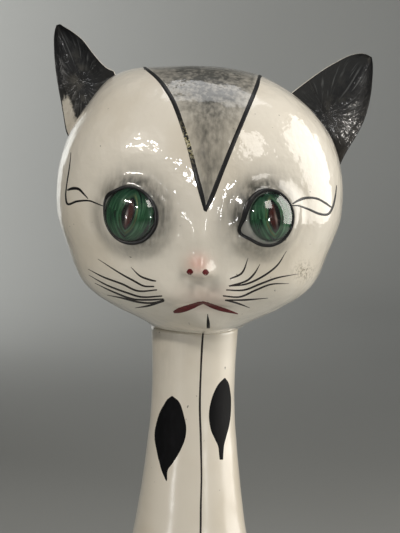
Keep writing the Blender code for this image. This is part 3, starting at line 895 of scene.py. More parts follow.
LEFT_EYE_LINE = (
    (0, 0.32), (30, 0.3), (60, 0.42), (90, 0.6), (120, 0.85), (150, 0.95), (180, 0.85),
    (206, 0.65), (240, 0.5), (270, 0.55), (300, 0.5), (330, 0.36), (360, 0.32),
)
RIGHT_EYE_LINE = (
    (0, 0.75), (30, 0.6), (60, 0.48), (90, 0.45), (120, 0.5), (145, 0.75), (165, 0.4), (185, 0.12),
    (215, 0.12), (240, 0.3), (270, 0.55), (300, 0.7), (330, 0.8), (360, 0.75),
)


# ---- Head ----


@dataclass(frozen=True)
class Lump:
    """A swelling or a dent on the face, in millimetres from the neck joint."""

    x: float
    height: float
    wide: float
    tall: float
    relief: float

    def at(self, x: float, height: float) -> float:
        """Its relief at a place on the face."""
        return self.relief * bump(x - self.x, self.wide) * bump(height - self.height, self.tall)


@dataclass
class Head:
    """The lacquered head: a squared ball with a modelled face, painted by hand."""

    joint: float
    view: Viewpoint
    eyes: Sequence[Eye]
    half_width: float = 46.8
    top: float = 43.9
    bottom: float = 43.0
    front: float = 42.0
    back: float = 41.0
    squareness: float = 2.3
    sink: float = 1.6
    shift: float = 0.6
    jaw: Profile = (
        (0.0, 0.88), (2.0, 0.76), (5.0, 0.79), (8.0, 0.86), (12.0, 0.925), (16.0, 0.952),
        (26.0, 0.95), (36.0, 0.99), (42.0, 1.0),
    )
    shoulders: tuple[Lump, ...] = (Lump(-27, 82, 11, 11, 3.0), Lump(30, 76, 12, 12, -0.8))
    face: tuple[Lump, ...] = (
        Lump(0.4, 24.6, 4.0, 3.2, 3.9),
        *(Lump(x, 23.0, 2.4, 2.0, 1.1) for x in (-2.6, 3.4)),
        Lump(0.4, 33.0, 4.6, 8.5, 2.2),
        Lump(1.0, 46.0, 8.0, 9.0, 1.2),
        *(Lump(x, 15.5, 5.4, 4.8, 2.5) for x in (-6.6, 8.6)),
        Lump(-3.6, 20.6, 1.7, 2.2, -1.0),
        Lump(-0.9, 17.4, 1.4, 2.8, -1.0),
        Lump(2.2, 15.8, 1.3, 3.6, 0.8),
        Lump(4.4, 18.0, 1.3, 3.0, -0.5),
        Lump(3.2, 11.0, 9.0, 1.4, -0.9),
        Lump(3.6, 4.5, 6.5, 4.0, 2.3),
        *(Lump(x, 19, 11, 9.0, 1.6) for x in (-26, 26)),
        *(Lump(x, 25, 5, 5, -0.7) for x in (-12, 13)),
        *(Lump(x, 22.6, 0.8, 0.6, -0.7) for x in (-1.7, 3.1)),
    )
    NECK_HOLE = 11.3  # radius of the hole over the neck
    RIM_DEPTH = 3.0
    FINE = (17, 16)  # degrees round each eye inside which the cells are halved, then halved again
    skin: BVHTree = field(init=False)

    @property
    def centre(self) -> float:
        """The height of the ball's middle above the neck joint."""
        return self.bottom - self.sink

    def point(self, direction: Vector) -> Vector:
        """Where the skin is, in a direction from the middle of the ball."""
        depth = self.front if direction.y < 0 else self.back
        halves = (self.half_width, depth, self.top if direction.z > 0 else self.bottom)
        spread = sum(abs(d / h) ** self.squareness for d, h in zip(direction, halves))
        base = direction * spread ** (-1 / self.squareness)
        height = base.z + self.centre
        base.x *= read_curve(self.jaw, height)
        wander = base * 0.045
        relief = 0.35 * noise.noise(wander) + 0.12 * noise.noise(wander * 3.1)
        for lump in self.shoulders:
            away = math.hypot(base.x - lump.x, height - lump.height)
            relief += lump.relief * bump(away, lump.wide) * bump(base.y, self.front / 2)
        if base.y < 0:
            fade = smoothstep(0, 0.4 * self.front, -base.y)
            relief += fade * sum(lump.at(base.x, height) for lump in self.face)
        point = base + direction * relief + Vector((self.shift, 0, self.centre + self.joint))
        for eye in self.eyes:
            point = eye.seat(point)
        return point

    def skin_mesh(self) -> Mesh:
        """The ball with finer cells on the face, cut flat and rimmed at the neck."""
        bm = bmesh.new()
        bmesh.ops.create_uvsphere(bm, u_segments=230, v_segments=150, radius=1)
        bmesh.ops.rotate(bm, verts=bm.verts, matrix=Matrix.Rotation(math.radians(90), 3, "X"))
        middle = Vector((self.shift, 0, self.centre + self.joint))
        looks = [(eye.base - middle).normalized() for eye in self.eyes]
        for reach in self.FINE:
            fine = [e for e in bm.edges if self.near_eye(e, looks, reach)]
            bmesh.ops.subdivide_edges(bm, edges=fine, cuts=1, use_grid_fill=True)
        for vert in bm.verts:
            vert.co = self.point(vert.co.normalized())
        cut = bmesh.ops.bisect_plane(
            bm,
            geom=[*bm.verts, *bm.edges, *bm.faces],
            plane_co=(0, 0, self.joint),
            plane_no=(0, 0, -1),
            clear_outer=True,
        )
        edges = [e for e in cut["geom_cut"] if isinstance(e, bmesh.types.BMEdge)]
        for rise in (0.0, self.RIM_DEPTH):
            grown = bmesh.ops.extrude_edge_only(bm, edges=edges)["geom"]
            for vert in (g for g in grown if isinstance(g, bmesh.types.BMVert)):
                out = Vector((vert.co.x, vert.co.y)).normalized() * self.NECK_HOLE
                vert.co = (out.x, out.y, self.joint + rise)
            edges = [g for g in grown if isinstance(g, bmesh.types.BMEdge)]
        bmesh.ops.triangulate(bm, faces=[f for f in bm.faces if len(f.verts) > 4])
        bmesh.ops.recalc_face_normals(bm, faces=bm.faces)
        return bm

    @staticmethod
    def near_eye(edge: bmesh.types.BMEdge, looks: Sequence[Vector], reach: float) -> bool:
        """Whether both ends of an edge of the unit ball are within some degrees of an eye."""
        limit = math.cos(math.radians(reach))
        return any(all(v.co.normalized().dot(look) > limit for v in edge.verts) for look in looks)

    def brush(self, **settings: float) -> Brush:
        """A brush that works on the head from the front."""
        return Brush(self.skin, self.view, self.joint, **settings)

    def tint(self, bm: Mesh) -> None:
        """Keeps the airbrushed tints and the painted eye shade on the skin's points."""
        smoke, blush, stain = (bm.verts.layers.float.new(n) for n in ("smoke", "blush", "stain"))
        for vert in bm.verts:
            x, height = self.view.seen(vert.co)
            height -= self.joint
            front = vert.co.y < 0
            shades = sum(eye.shade(vert.co) for eye in self.eyes)
            vert[smoke] = min(self.forehead(vert.co) + shades, 1.0)
            nose = 0.75 * bump(x - 0.6, 3.6) * bump(height - 20.5, 3.4)
            lips = 0.28 * bump(x - 3.5, 9) * bump(height - 9, 4)
            vert[blush] = (nose + lips) if front else 0.0
            vert[stain] = bump(math.hypot(x - 35.7, height - 18.6), 2.7) if front else 0.0

    LOW_EDGE = (
        (38.0, 2.5), (50.0, -0.7), (59.0, -3.2), (67.5, -6.1), (73.7, -8.7), (79.0, -12.0),
        (84.0, -17.6),
    )
    HIGH_EDGE = ((38.0, 2.7), (52.0, 8.1), (60.0, 11.1), (68.0, 14.1), (76.0, 17.3), (83.0, 19.3))
    CROWN_EDGES = (-18.0, 19.5)

    def forehead(self, point: Vector) -> float:
        """The grey airbrushed between the forehead's two stripes, fading over the crown."""
        x, height = self.view.seen(point)
        height -= self.joint
        if height < self.LOW_EDGE[0][0]:
            return 0.0
        low, high = read_curve(self.LOW_EDGE, height), read_curve(self.HIGH_EDGE, height)
        if point.y > 2:
            low, high = self.CROWN_EDGES
        inside = smoothstep(-0.2, 1.0, x - low) * smoothstep(-0.2, 1.0, high - x)
        middle = bump(x - (low + high) / 2, 0.32 * (high - low) + 1)
        tone = 0.4 + 0.36 * middle + 0.3 * smoothstep(66, 80, height)
        return inside * tone * (1 - smoothstep(8, 26, point.y))

    def make_skin(self) -> None:
        """The head's skin; its surface is kept for the brush."""
        bm = self.skin_mesh()
        self.skin = BVHTree.FromBMesh(bm)
        self.tint(bm)
        shells = ["face_shell", "head_back_shell"]
        put_piece("head_skin", bm, [Finish.HEAD_LACQUER], "head", shells)

    @property
    def from_above(self) -> Viewpoint:
        """Where the crown is painted from."""
        return Viewpoint(Vector((0, 0, self.joint + 40)), 0, 62)

    def make_stripes(self) -> None:
        """The two stripes that meet between the eyes and run back over the crown."""
        brush, above = self.brush(), Brush(self.skin, self.from_above, self.joint)
        right = [
            (-17.6, 83.9, 1.1), (-14.6, 81.6, 1.3), (-11.9, 78.7, 1.5), (-8.7, 73.7, 1.6),
            (-6.1, 67.4, 1.6),
        ]
        right += [(-3.2, 59.0, 1.65), (-0.7, 50.1, 1.7), (1.2, 43.6, 1.7), (2.6, 38.4, 1.2)]
        left = [
            (19.3, 82.6, 1.2), (18.6, 79.5, 1.5), (17.3, 75.9, 1.6), (14.1, 67.7, 1.6),
            (11.1, 60.0, 1.65),
        ]
        left += [(8.1, 52.1, 1.7), (4.8, 43.1, 1.7), (2.6, 37.9, 1.1)]
        strokes = [brush.stroke(right, wear=(55.5, 65.0)), brush.stroke(left)]
        strokes += [above.stroke(run) for run in self.crown_runs()]
        put_marks("forehead_stripes", strokes, Finish.STRIPE, "head", 0.1)

    def crown_runs(self) -> list[list[Point3]]:
        """Both stripes from the brow over the crown, as seen from above, thinning to the back."""
        first, stride, steps = -9.5, 5.5, 8
        runs = []
        for x, spread in ((-17.4, -0.10), (19.0, 0.06)):
            run = []
            for step in range(steps):
                y = first + stride * step
                above = Vector((x + spread * (y - first), y, self.joint + 120))
                point, _, _, _ = self.skin.ray_cast(above, -UP)
                across, height = self.from_above.seen(point)
                run.append((across, height - self.joint, 1.25 * (1 - (step / steps) ** 2)))
            runs.append(run)
        return runs

    def make_whiskers(self) -> None:
        """Fine tapering hairs on both cheeks, loaded at the lip and dry at the tip."""
        right = (
            ((-13.7, 12.6), (-17.1, 12.7), (-20.4, 14.3), (-25.1, 16.8), (-32.4, 21.3)),
            ((-13.1, 14.4), (-14.8, 14.7), (-18.4, 16.0), (-21.5, 18.9)),
            ((-12.7, 11.5), (-19.0, 11.0), (-24.3, 13.2), (-30.6, 15.4), (-35.6, 17.9)),
            ((-11.0, 9.5), (-17.6, 9.0), (-22.3, 10.2), (-29.3, 12.7), (-35.3, 15.9)),
            ((-10.5, 8.5), (-15.6, 8.1), (-20.9, 8.3), (-27.9, 10.8), (-33.3, 13.3)),
            ((-10.2, 8.2), (-14.3, 7.1), (-18.9, 7.3), (-24.2, 8.5), (-29.2, 9.4)),
            ((-10.3, 7.8), (-15.6, 6.1), (-19.9, 5.3)),
        )
        left = (
            ((11.3, 15.7), (15.2, 17.8), (17.1, 22.8)),
            ((11.0, 13.3), (16.6, 15.1), (19.2, 17.5), (21.1, 20.9)),
            ((11.0, 13.3), (16.6, 14.1), (21.8, 16.6), (26.7, 20.5), (29.7, 25.4)),
            ((10.1, 12.0), (16.0, 12.1), (21.2, 14.2), (26.8, 16.4), (33.4, 17.8)),
            ((9.1, 10.0), (14.7, 9.8), (20.0, 12.2), (24.9, 14.2), (30.8, 14.6)),
            ((9.8, 8.6), (16.1, 8.8), (24.0, 9.6)),
            ((9.8, 8.6), (13.8, 7.7), (18.1, 6.2)),
        )
        brush = self.brush(lift=0.06)
        for side, hairs in (("right", right), ("left", left)):
            strokes = []
            for hair in hairs:
                last = len(hair) - 1
                full = [math.sin(math.pi * (0.15 + 0.8 * k / last)) for k in range(last)]
                widths = [*(0.32 + 0.42 * share for share in full), 0.15]
                strokes.append(brush.stroke([(x, z, w) for (x, z), w in zip(hair, widths)]))
            put_marks(f"whiskers_{side}", strokes, Finish.BROWN_LINE, "head", 0.06)

    def make_mouth(self) -> None:
        """The red lips, heavy at the cat's right, and the short black stroke on the chin."""
        brush = self.brush()
        right = [
            (-7.1, 4.2, 0.8), (-5.6, 4.7, 1.8), (-3.6, 5.3, 2.1), (-1.2, 6.2, 1.9),
            (1.2, 7.2, 1.4), (3.2, 7.7, 0.8),
        ]
        left = [
            (2.2, 7.8, 0.7), (4.2, 7.1, 1.4), (6.8, 6.1, 1.6), (9.6, 5.3, 1.45), (12.0, 4.7, 1.0),
            (14.2, 4.1, 0.35),
        ]
        lips = [brush.stroke(run) for run in (right, left)]
        put_marks("red_lips", lips, Finish.RED, "head", 0.1)
        chin = brush.stroke(
            [(4.2, 3.9, 0.15), (4.3, 2.4, 0.7), (4.45, 0.8, 1.25), (4.5, -0.9, 1.3)]
        )
        put_marks("chin_stroke", [chin], Finish.BLACK, "head", 0.1)

    def make_nostrils(self) -> None:
        """Two dark red dots pressed into the nose."""
        brush = self.brush(lift=0.05)
        height = 17.7
        widths = ((-1.1, 0.3), (-0.6, 1.9), (0.0, 2.3), (0.6, 1.9), (1.1, 0.3))
        dots = [brush.stroke([(x + at, height, wide) for at, wide in widths]) for x in (-2.0, 3.2)]
        put_marks("nostril_dots", dots, Finish.RED, "head", 0.08)

    def make_eye_marks(self) -> None:
        """The lines drawn from the outer corners of both eyes towards the ears."""
        brush = self.brush(lift=0.07)
        left = (
            (
                (31.2, 41.0, 0.5), (33.4, 42.3, 0.9), (35.8, 43.1, 0.9), (39.2, 42.9, 0.8),
                (42.0, 41.5, 0.8), (43.9, 40.2, 0.6),
            ),
            (
                (45.5, 47.4, 0.3), (45.2, 44.0, 0.6), (44.5, 40.5, 0.8), (43.0, 37.9, 0.9),
                (40.2, 37.9, 0.9), (36.7, 39.3, 0.8), (33.2, 40.4, 0.6), (31.0, 40.4, 0.4),
            ),
        )
        right = (
            (
                (-42.8, 43.8, 0.6), (-41.2, 44.4, 1.1), (-39.2, 44.3, 1.0), (-37.5, 42.8, 0.7),
                (-36.0, 41.2, 0.3),
            ),
            (
                (-41.8, 56.2, 0.2), (-42.2, 51.6, 0.45), (-43.1, 45.2, 0.5), (-43.3, 41.6, 0.6),
                (-42.6, 39.2, 0.8), (-39.6, 40.2, 0.8), (-35.6, 40.5, 0.6), (-33.0, 39.6, 0.5),
                (-30.8, 38.8, 0.4),
            ),
        )
        for side, runs in (("left", left), ("right", right)):
            lines = [brush.stroke(run) for run in runs]
            put_marks(f"eye_marks_{side}", lines, Finish.BLACK, "head", 0.08)

    def build(self) -> None:
        """Makes the head's skin, its eyes and its painting."""
        self.make_skin()
        for eye in self.eyes:
            eye.build()
        self.make_stripes()
        self.make_whiskers()
        self.make_mouth()
        self.make_nostrils()
        self.make_eye_marks()


@dataclass
class Ear:
    """A cupped ear: cream behind, dry-brushed black inside and round its outer edge."""

    name: str
    head: Head
    side: int
    inner: float
    outer: float
    lean: float
    height: float
    top: float
    inner_edge: Profile
    outer_edge: Profile
    nudge: Point2 = (0.0, 0.0)
    bare: float = 0.0
    thickness: float = 2.4
    cup: float = 6.5
    setback: float = 5.0
    root: float = 0.34
    MIDDLE = 0.25  # how far up the ear the bristle marks fan out from

    def foot(self, angle: float) -> Vector:
        """Where the ear's edge meets the head, at an angle from straight up."""
        turn = math.radians(angle)
        away = Vector((self.side * math.sin(turn), self.setback / self.head.top, math.cos(turn)))
        return self.head.point(away.normalized()) + Vector((self.nudge[0], 0, self.nudge[1]))

    def height_at(self, v: float) -> float:
        """How far up the ear a row of the loft is, close-set towards the tip."""
        return mix(-self.root, self.top, v * (1.45 - 0.45 * v * v))

    def make_loft(self) -> Mesh:
        """One closed loft, from below the head's skin to the rounded tip."""
        inner, outer = self.foot(self.inner), self.foot(self.outer)
        middle, across = (inner + outer) / 2, (outer - inner).normalized()
        half = (outer - inner).length / 2
        turn = math.radians(self.lean)
        rise = Vector((self.side * math.sin(turn), 0, math.cos(turn))) * self.height

        def place(u: float, v: float) -> Vector:
            """The loft's place: u runs round the ear and v from its root to its tip."""
            over, back = self.over(u), self.back(u)
            up = self.height_at(v)
            lifted = max(up, 0.0)
            near = read_curve(self.inner_edge, lifted)
            far = read_curve(self.outer_edge, lifted)
            aside = (near + far) / 2 + over * (far - near) / 2
            closing = math.sqrt(max(1 - (lifted / self.top) ** 12, 0.0))
            flare = 3.2 * bump(lifted, 0.15) * (0.35 + 0.65 * (back > 0))
            thick = self.thickness * (0.6 + 0.4 * (1 - lifted)) + flare
            rounded = math.copysign(abs(back) ** 0.7, back) * thick / 2 * closing
            hollow = self.cup * (1 - over * over) * (1 - 0.5 * lifted) * closing
            return middle + rise * up + across * aside * half + Vector((0, hollow + rounded, 0))

        return wrapped_grid(
            84,
            96,
            place,
            fan=self.fan,
            reach=self.reach,
            bare=self.bareness,
            inside=self.inside,
            smoke=lambda u, v: 0.0,
        )

    @staticmethod
    def over(u: float) -> float:
        """Where a column of the loft is, from -1 at the inner edge to 1 at the outer one."""
        return math.cos(math.tau * u + math.pi / 2)

    @staticmethod
    def back(u: float) -> float:
        """How far a column faces back, from -1 inside the ear to 1 behind it."""
        return math.sin(math.tau * u + math.pi / 2)

    def fan(self, u: float, v: float) -> float:
        """Which way a place is from the ear's middle, as a share of a full turn."""
        return math.atan2(self.height_at(v) - self.MIDDLE, self.over(u) * 0.55) / math.tau

    def reach(self, u: float, v: float) -> float:
        """How far a place is from the ear's middle towards its edge."""
        up = self.height_at(v) - self.MIDDLE
        return max(abs(self.over(u)), up / 0.74, -up / 0.5)

    def bareness(self, u: float, v: float) -> float:
        """How bare of paint a place is, near the foot of the outer edge."""
        over, low = self.over(u), smoothstep(0.42, 0.16, self.height_at(v))
        return self.bare * smoothstep(0.4, 0.8, over) * smoothstep(0.985, 0.94, over) * low

    def inside(self, u: float, v: float) -> float:
        """Above 0 where the ear is painted: inside, and round its outer edge."""
        return -self.back(u) - 0.15 + 0.7 * smoothstep(-0.2, 0.5, self.over(u))

    def build(self) -> None:
        """Makes the ear and paints its inside."""
        bm = self.make_loft()
        close_ends(bm)
        inside = bm.verts.layers.float["inside"]
        for face in bm.faces:
            face.material_index = int(sum(v[inside] for v in face.verts) > 0)
        finishes = [Finish.HEAD_LACQUER, Finish.EAR]
        put_piece(f"cupped_{self.name}", bm, finishes, "head", [self.name])


LEFT_EAR_INNER = (
    (0, -1), (0.22, -0.85), (0.46, -0.67), (0.68, -0.47), (0.82, -0.32), (0.94, -0.14), (1.0, 0.0),
    (1.04, 0.15),
)
LEFT_EAR_OUTER = (
    (0, 1), (0.1, 0.91), (0.25, 0.87), (0.42, 0.86), (0.62, 0.8), (0.81, 0.62), (0.95, 0.39),
    (1.01, 0.26), (1.04, 0.15),
)
RIGHT_EAR_INNER = (
    (0, -1), (0.12, -0.82), (0.35, -0.64), (0.58, -0.5), (0.75, -0.32), (0.9, -0.12),
    (0.95, -0.05), (0.98, 0.06),
)
RIGHT_EAR_OUTER = (
    (0, 1), (0.25, 0.83), (0.46, 0.7), (0.68, 0.53), (0.88, 0.3), (0.95, 0.17), (0.98, 0.06),
)


# ---- Body ----


@dataclass
class Body:
    """The long neck and seated body, with legs and haunches modelled on it."""

    joint: float
    half_width: float = 55.0
    front: float = 45.0
    back: float = 55.0
    neck: float = 13.9
    gap: float = 0.3
    leg_spacing: float = 12.0
    swell: Profile = (
        (0.0, 0.88), (0.07, 0.97), (0.15, 1.0), (0.25, 0.93), (0.36, 0.79), (0.48, 0.60),
        (0.60, 0.39), (0.70, 0.225), (0.773, 0.117), (0.817, 0.066), (0.863, 0.027), (0.913, 0.0),
        (0.963, 0.0), (1.0, 0.012),
    )
    WALL = 3.0  # how far the rims turn in, and how far back along the wall
    RIM = 0.02  # the share of the rows at each end that make the rim
    RIM_IN = 0.015  # nearer to the end than this the rim is turned in
    RIM_BACK = 0.007  # and nearer than this it runs back along the wall
    foot: float = field(init=False)
    skin: BVHTree = field(init=False)

    def __post_init__(self) -> None:
        """Reads the height of the casting's lower rim."""
        self.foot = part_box("body_back_shell")[0].z / MM

    def point(self, angle: float, height: float, outset: float = 0.0) -> Vector:
        """Where the skin is.

        Args:
            angle: degrees from the front towards the cat's left.
            height: above the ground.
            outset: how far outside the skin.

        Returns:
            The point.
        """
        turn = math.radians(angle)
        swell = read_curve(self.swell, height / self.joint)
        depth = self.front if math.cos(turn) > 0 else self.back
        aside = abs(apart(angle, 0))
        haunch = 3.5 * bump(aside - 72, 30) * bump(height - 36, 26)
        x = (mix(self.neck, self.half_width, swell) + outset + haunch) * math.sin(turn)
        y = -(mix(self.neck, depth, swell) + outset) * math.cos(turn)
        if math.cos(turn) > 0:
            fade = 1 - smoothstep(0.25 * self.joint, 0.5 * self.joint, height)
            y -= 2.6 * bump(abs(x) - self.leg_spacing, 7) * fade
            y += 0.9 * bump(x, 1.6) * fade * smoothstep(6, 20, height)
        spot = Vector((x, y, height))
        out = Vector((x, y, 0)).normalized()
        lumps = 0.3 * noise.noise(spot * 0.04) + 0.1 * noise.noise(spot * 0.13)
        return spot + out * lumps * smoothstep(0, 30, self.joint - height)

    def make_skin(self) -> None:
        """The casting's skin, with its rims turned in at the neck and the foot."""
        low, high = self.foot, self.joint - self.gap

        def place(u: float, v: float) -> Vector:
            """The skin's place, or the rim's, from the foot up to the neck."""
            angle, end = 360 * u + 180, min(v, 1 - v)
            if end >= self.RIM:
                return self.point(angle, mix(low, high, (v - self.RIM) / (1 - 2 * self.RIM)))
            edge = self.point(angle, high if v > 0.5 else low)
            if end >= self.RIM_IN:
                return edge
            back = self.WALL if end < self.RIM_BACK else 0.0
            return self.inward(edge, self.WALL) + UP * (-back if v > 0.5 else back)

        bm = wrapped_grid(180, 300, place, smoke=self.smoke_at)
        self.skin = BVHTree.FromBMesh(bm)
        shells = ["body_front_shell", "body_back_shell"]
        put_piece("body_skin", bm, [Finish.BODY_LACQUER], "body", shells)

    @staticmethod
    def inward(point: Vector, wall: float) -> Vector:
        """A rim point moved in by the wall."""
        out = Vector((point.x, point.y, 0)).normalized()
        return point - out * wall

    def smoke_at(self, u: float, v: float) -> float:
        """Airbrushed grey on the haunches, painted shade under the chin and between the legs."""
        angle = (360 * u) % 360 - 180
        # painted shade where the head shades the neck, on the cat's right
        chin = 0.25 * bump(angle + 55, 40) * smoothstep(0.86, 1.0, v)
        haunch = 0.35 * bump(abs(angle) - 50, 7) * bump(v - 0.12, 0.1)
        # painted shade in the groove between the front legs
        legs = 0.5 * bump(angle, 3) * bump(v - 0.2, 0.14)
        return chin + haunch + legs

    def make_line(self) -> None:
        """The thin line down the front of the neck and chest."""
        brush = Brush(self.skin, HEAD_ON, self.joint, lift=0.05)
        neck = [
            (2.85, -1.6, 0.6), (2.6, -7.0, 0.8), (2.4, -14.3, 0.7), (2.3, -26.8, 0.8),
            (2.9, -38.7, 0.8),
        ]
        neck += [
            (3.4, -51.6, 0.7), (3.4, -60.9, 0.75), (3.5, -70.5, 0.8), (3.0, -85.0, 0.8),
            (2.2, -105.0, 0.7),
        ]
        neck += [
            (1.4, -130.0, 0.8), (0.8, -160.0, 0.7), (0.3, -195.0, 0.8), (0.0, -235.0, 0.7),
            (0.0, -272.0, 0.4),
        ]
        put_marks("chest_line", [brush.stroke(neck)], Finish.BROWN_LINE, "body", 0.06)

    LEAF_WIDE = (
        (0.0, 0.0), (0.08, 0.45), (0.2, 0.82), (0.38, 1.0), (0.5, 0.96), (0.64, 0.75),
        (0.78, 0.42), (0.88, 0.16), (1.0, 0.02),
    )

    def leaf(
        self, view: Viewpoint, x: float, top: float, length: float, width: float, bend: float,
    ) -> Mesh:
        """A leaf-shaped spot, blunt above and drawn to a tail below.

        Args:
            view: the side it is seen from.
            x: its middle, to the right of the neck's axis.
            top: its top, above the neck joint.
            length: from top to tail.
            width: its widest part.
            bend: how far its belly swings to the right.

        Returns:
            Its ribbon.
        """
        marks = []
        for share, wide in self.LEAF_WIDE:
            swing = bend * math.sin(math.pi * share) - 0.12 * bend * share
            marks.append((x + swing, top - length * share, max(width * wide, 0.15)))
        return Brush(self.skin, view, self.joint, lift=0.08).stroke(marks)

    def make_spots(self) -> None:
        """Black leaf spots: two on the front of the neck, the rest scattered round the body."""
        front = Brush(self.skin, HEAD_ON, self.joint, lift=0.08)
        right = [
            (-7.0, -24.0, 0.3), (-7.0, -25.2, 3.6), (-6.9, -27.5, 6.5), (-7.1, -31.0, 9.2),
            (-7.2, -35.0, 11.0),
        ]
        right += [
            (-7.6, -38.6, 10.7), (-8.0, -42.0, 8.7), (-8.6, -46.0, 5.4), (-9.0, -49.0, 2.4),
            (-8.3, -52.8, 0.4),
        ]
        left = [
            (10.4, -17.5, 0.3), (10.3, -19.0, 3.0), (9.9, -21.5, 5.2), (9.5, -24.5, 6.8),
            (9.1, -28.5, 7.7),
        ]
        left += [
            (9.0, -31.5, 7.5), (9.1, -35.0, 6.2), (9.4, -38.0, 4.0), (9.7, -40.6, 2.1),
            (9.8, -43.0, 1.6), (9.9, -45.2, 1.2),
        ]
        spots = [front.stroke(right), front.stroke(left)]
        layout = (
            (0, -24, -118, 26, 10, 2), (0, 25, -104, 24, 9, -2), (0, -30, -182, 28, 12, 2),
            (0, 33, -170, 27, 11, -2), (95, 9, -66, 26, 10, 2), (95, 16, -128, 30, 12, -2),
            (95, -22, -150, 28, 12, 2), (95, 22, -212, 30, 13, 2), (180, 2, -30, 26, 10, -2),
            (180, -14, -92, 29, 12, 2), (180, 16, -128, 29, 12, -2), (180, -24, -176, 30, 13, 2),
            (180, 8, -206, 30, 13, 2), (-95, 4, -72, 27, 10, -2), (-95, -18, -132, 29, 12, 2),
            (-95, 20, -160, 29, 12, 2), (-95, -20, -214, 30, 13, -2),
        )
        for azimuth, x, top, length, width, bend in layout:
            view = Viewpoint(Vector((0, 0, self.joint + top)), azimuth, 0)
            spots.append(self.leaf(view, x, top, length, width, bend))
        put_marks("leaf_spots", spots, Finish.SPOT, "body", 0.1)

    def build(self) -> None:
        """Makes the body's skin and its painting."""
        self.make_skin()
        self.make_line()
        self.make_spots()


@dataclass
class Paw:
    """A rounded paw pasted at the foot of the body, with three painted toe lines."""

    name: str
    body: Body
    angle: float
    size: Vector
    out: float
    TOES = (-0.42, 0.0, 0.42)  # where the toe lines are across the paw, in half widths
    HEIGHT = 0.8  # the middle's height above the casting's rim, in half heights
    LINE_WIDTHS = (0.3, 0.7, 0.8, 0.6, 0.15)

    def toes(self, x: float, spread: float) -> float:
        """How near a place across the paw is to the toe lines."""
        return sum(bump(x - toe, spread) for toe in self.TOES)

    def build(self) -> None:
        """Makes the paw round its CAD solid's place, flat underneath."""
        turn = math.radians(self.angle)
        centre = self.body.point(self.angle, self.size.z * self.HEIGHT) + heading(turn) * self.out
        centre.z = self.body.foot + self.size.z * self.HEIGHT
        swing = turn * 0.6
        forward = heading(swing)
        aside = UP.cross(forward)

        def place(u: float, v: float) -> Vector:
            """The paw's place: v runs from its front to its back and u round it."""
            around, lean = math.tau * u, math.pi * v
            x, y = math.sin(lean) * math.cos(around), math.cos(lean)
            z = math.sin(lean) * math.sin(around)
            dent = self.toes(x, 0.1) * smoothstep(0.25, 0.75, y)
            puff = 1 - 0.06 * dent * smoothstep(-0.6, 0.1, z)
            spot = centre + (aside * x * self.size.x + forward * y * self.size.y) * puff
            spot.z = max(centre.z + z * self.size.z * puff, self.body.foot)
            return spot

        def painted_groove_shade(u: float, v: float) -> float:
            """Painted shade in the grooves between the toes."""
            lean = math.pi * v
            x, y = math.sin(lean) * math.cos(math.tau * u), math.cos(lean)
            return 0.9 * self.toes(x, 0.07) * smoothstep(0.3, 0.7, y)

        bm = wrapped_grid(96, 64, place, smoke=painted_groove_shade)
        skin = BVHTree.FromBMesh(bm)
        name = f"modelled_{self.name}"
        put_piece(name, bm, [Finish.BODY_LACQUER], "body", [self.name])
        view = Viewpoint(centre + Vector((0, 0, 2)), math.degrees(swing), 40, 400)
        brush = Brush(skin, view, lift=0.06)
        strokes = []
        for toe in self.TOES:
            run = []
            for step, wide in enumerate(self.LINE_WIDTHS):
                lean = math.radians(14 + 10 * step)
                y = math.cos(lean) if toe == 0 else math.cos(lean) * 0.93
                spot = centre + aside * toe * self.size.x + forward * y * self.size.y
                spot.z = centre.z + math.sin(lean) * self.size.z * 0.75
                run.append((*view.seen(spot), wide))
            strokes.append(brush.stroke(run))
        put_marks(f"toe_lines_{self.name}", strokes, Finish.BLACK, "body", 0.08)


@dataclass
class Tail:
    """The rolled-paper tail, curled round the body's foot to the cat's left."""

    body: Body
    root: float = 7.0
    tip: float = 4.6
    start: float = 205.0
    end: float = 62.0
    gap: float = 0.3
    sink: float = 4.2
    ROUNDED = 0.045  # the share of its length that rounds off its tip
    RINGS = (0.62, 0.7, 0.78)
    RING_HALF = 0.014
    BLACK_FROM = 0.86

    def radius(self, share: float) -> float:
        """The tail's radius, rounded off at its tip."""
        past = max((share - 1 + self.ROUNDED) / self.ROUNDED, 0.0)
        rounded = math.sqrt(max(1 - past**2, 0.0))
        return mix(self.root, self.tip, min(max(share, 0), 1)) * max(rounded, 0.02)

    def centre(self, share: float) -> Vector:
        """The tail's middle line, from its root behind the body round to its tip."""
        radius = mix(self.root, self.tip, share)
        height = self.body.foot + radius + self.gap
        height += 6 * (1 - smoothstep(0, 0.35, share))
        sunk = (1 - smoothstep(-0.04, 0.16, share)) * (radius + self.sink)
        angle = mix(self.start, self.end, share)
        point = self.body.point(angle, height, radius + 2 * self.gap - sunk)
        point.z = height
        return point

    def build(self) -> None:
        """Makes the tail with a black tip and rings."""

        def place(u: float, v: float) -> Vector:
            """The tail's place: v runs from its root to its tip and u round it."""
            middle = self.centre(v)
            ahead = (self.centre(min(v + STEP, 1)) - self.centre(max(v - STEP, 0))).normalized()
            aside = ahead.cross(UP).normalized()
            roll = math.tau * u
            out = aside * math.cos(roll) + aside.cross(ahead) * math.sin(roll)
            wobble = 1 + 0.02 * noise.noise(middle * 0.08)
            return middle + out * self.radius(v) * wobble

        bm = wrapped_grid(48, 260, place, along=lambda u, v: v, smoke=lambda u, v: 0.0)
        close_ends(bm)
        where = bm.verts.layers.float["along"]
        for face in bm.faces:
            share = sum(v[where] for v in face.verts) / len(face.verts)
            ringed = any(abs(share - ring) < self.RING_HALF for ring in self.RINGS)
            face.material_index = int(share > self.BLACK_FROM or ringed)
        finishes = [Finish.BODY_LACQUER, Finish.BLACK]
        put_piece("curled_tail", bm, finishes, "body", ["tail"])


# ---- Hidden pieces and the studio ----

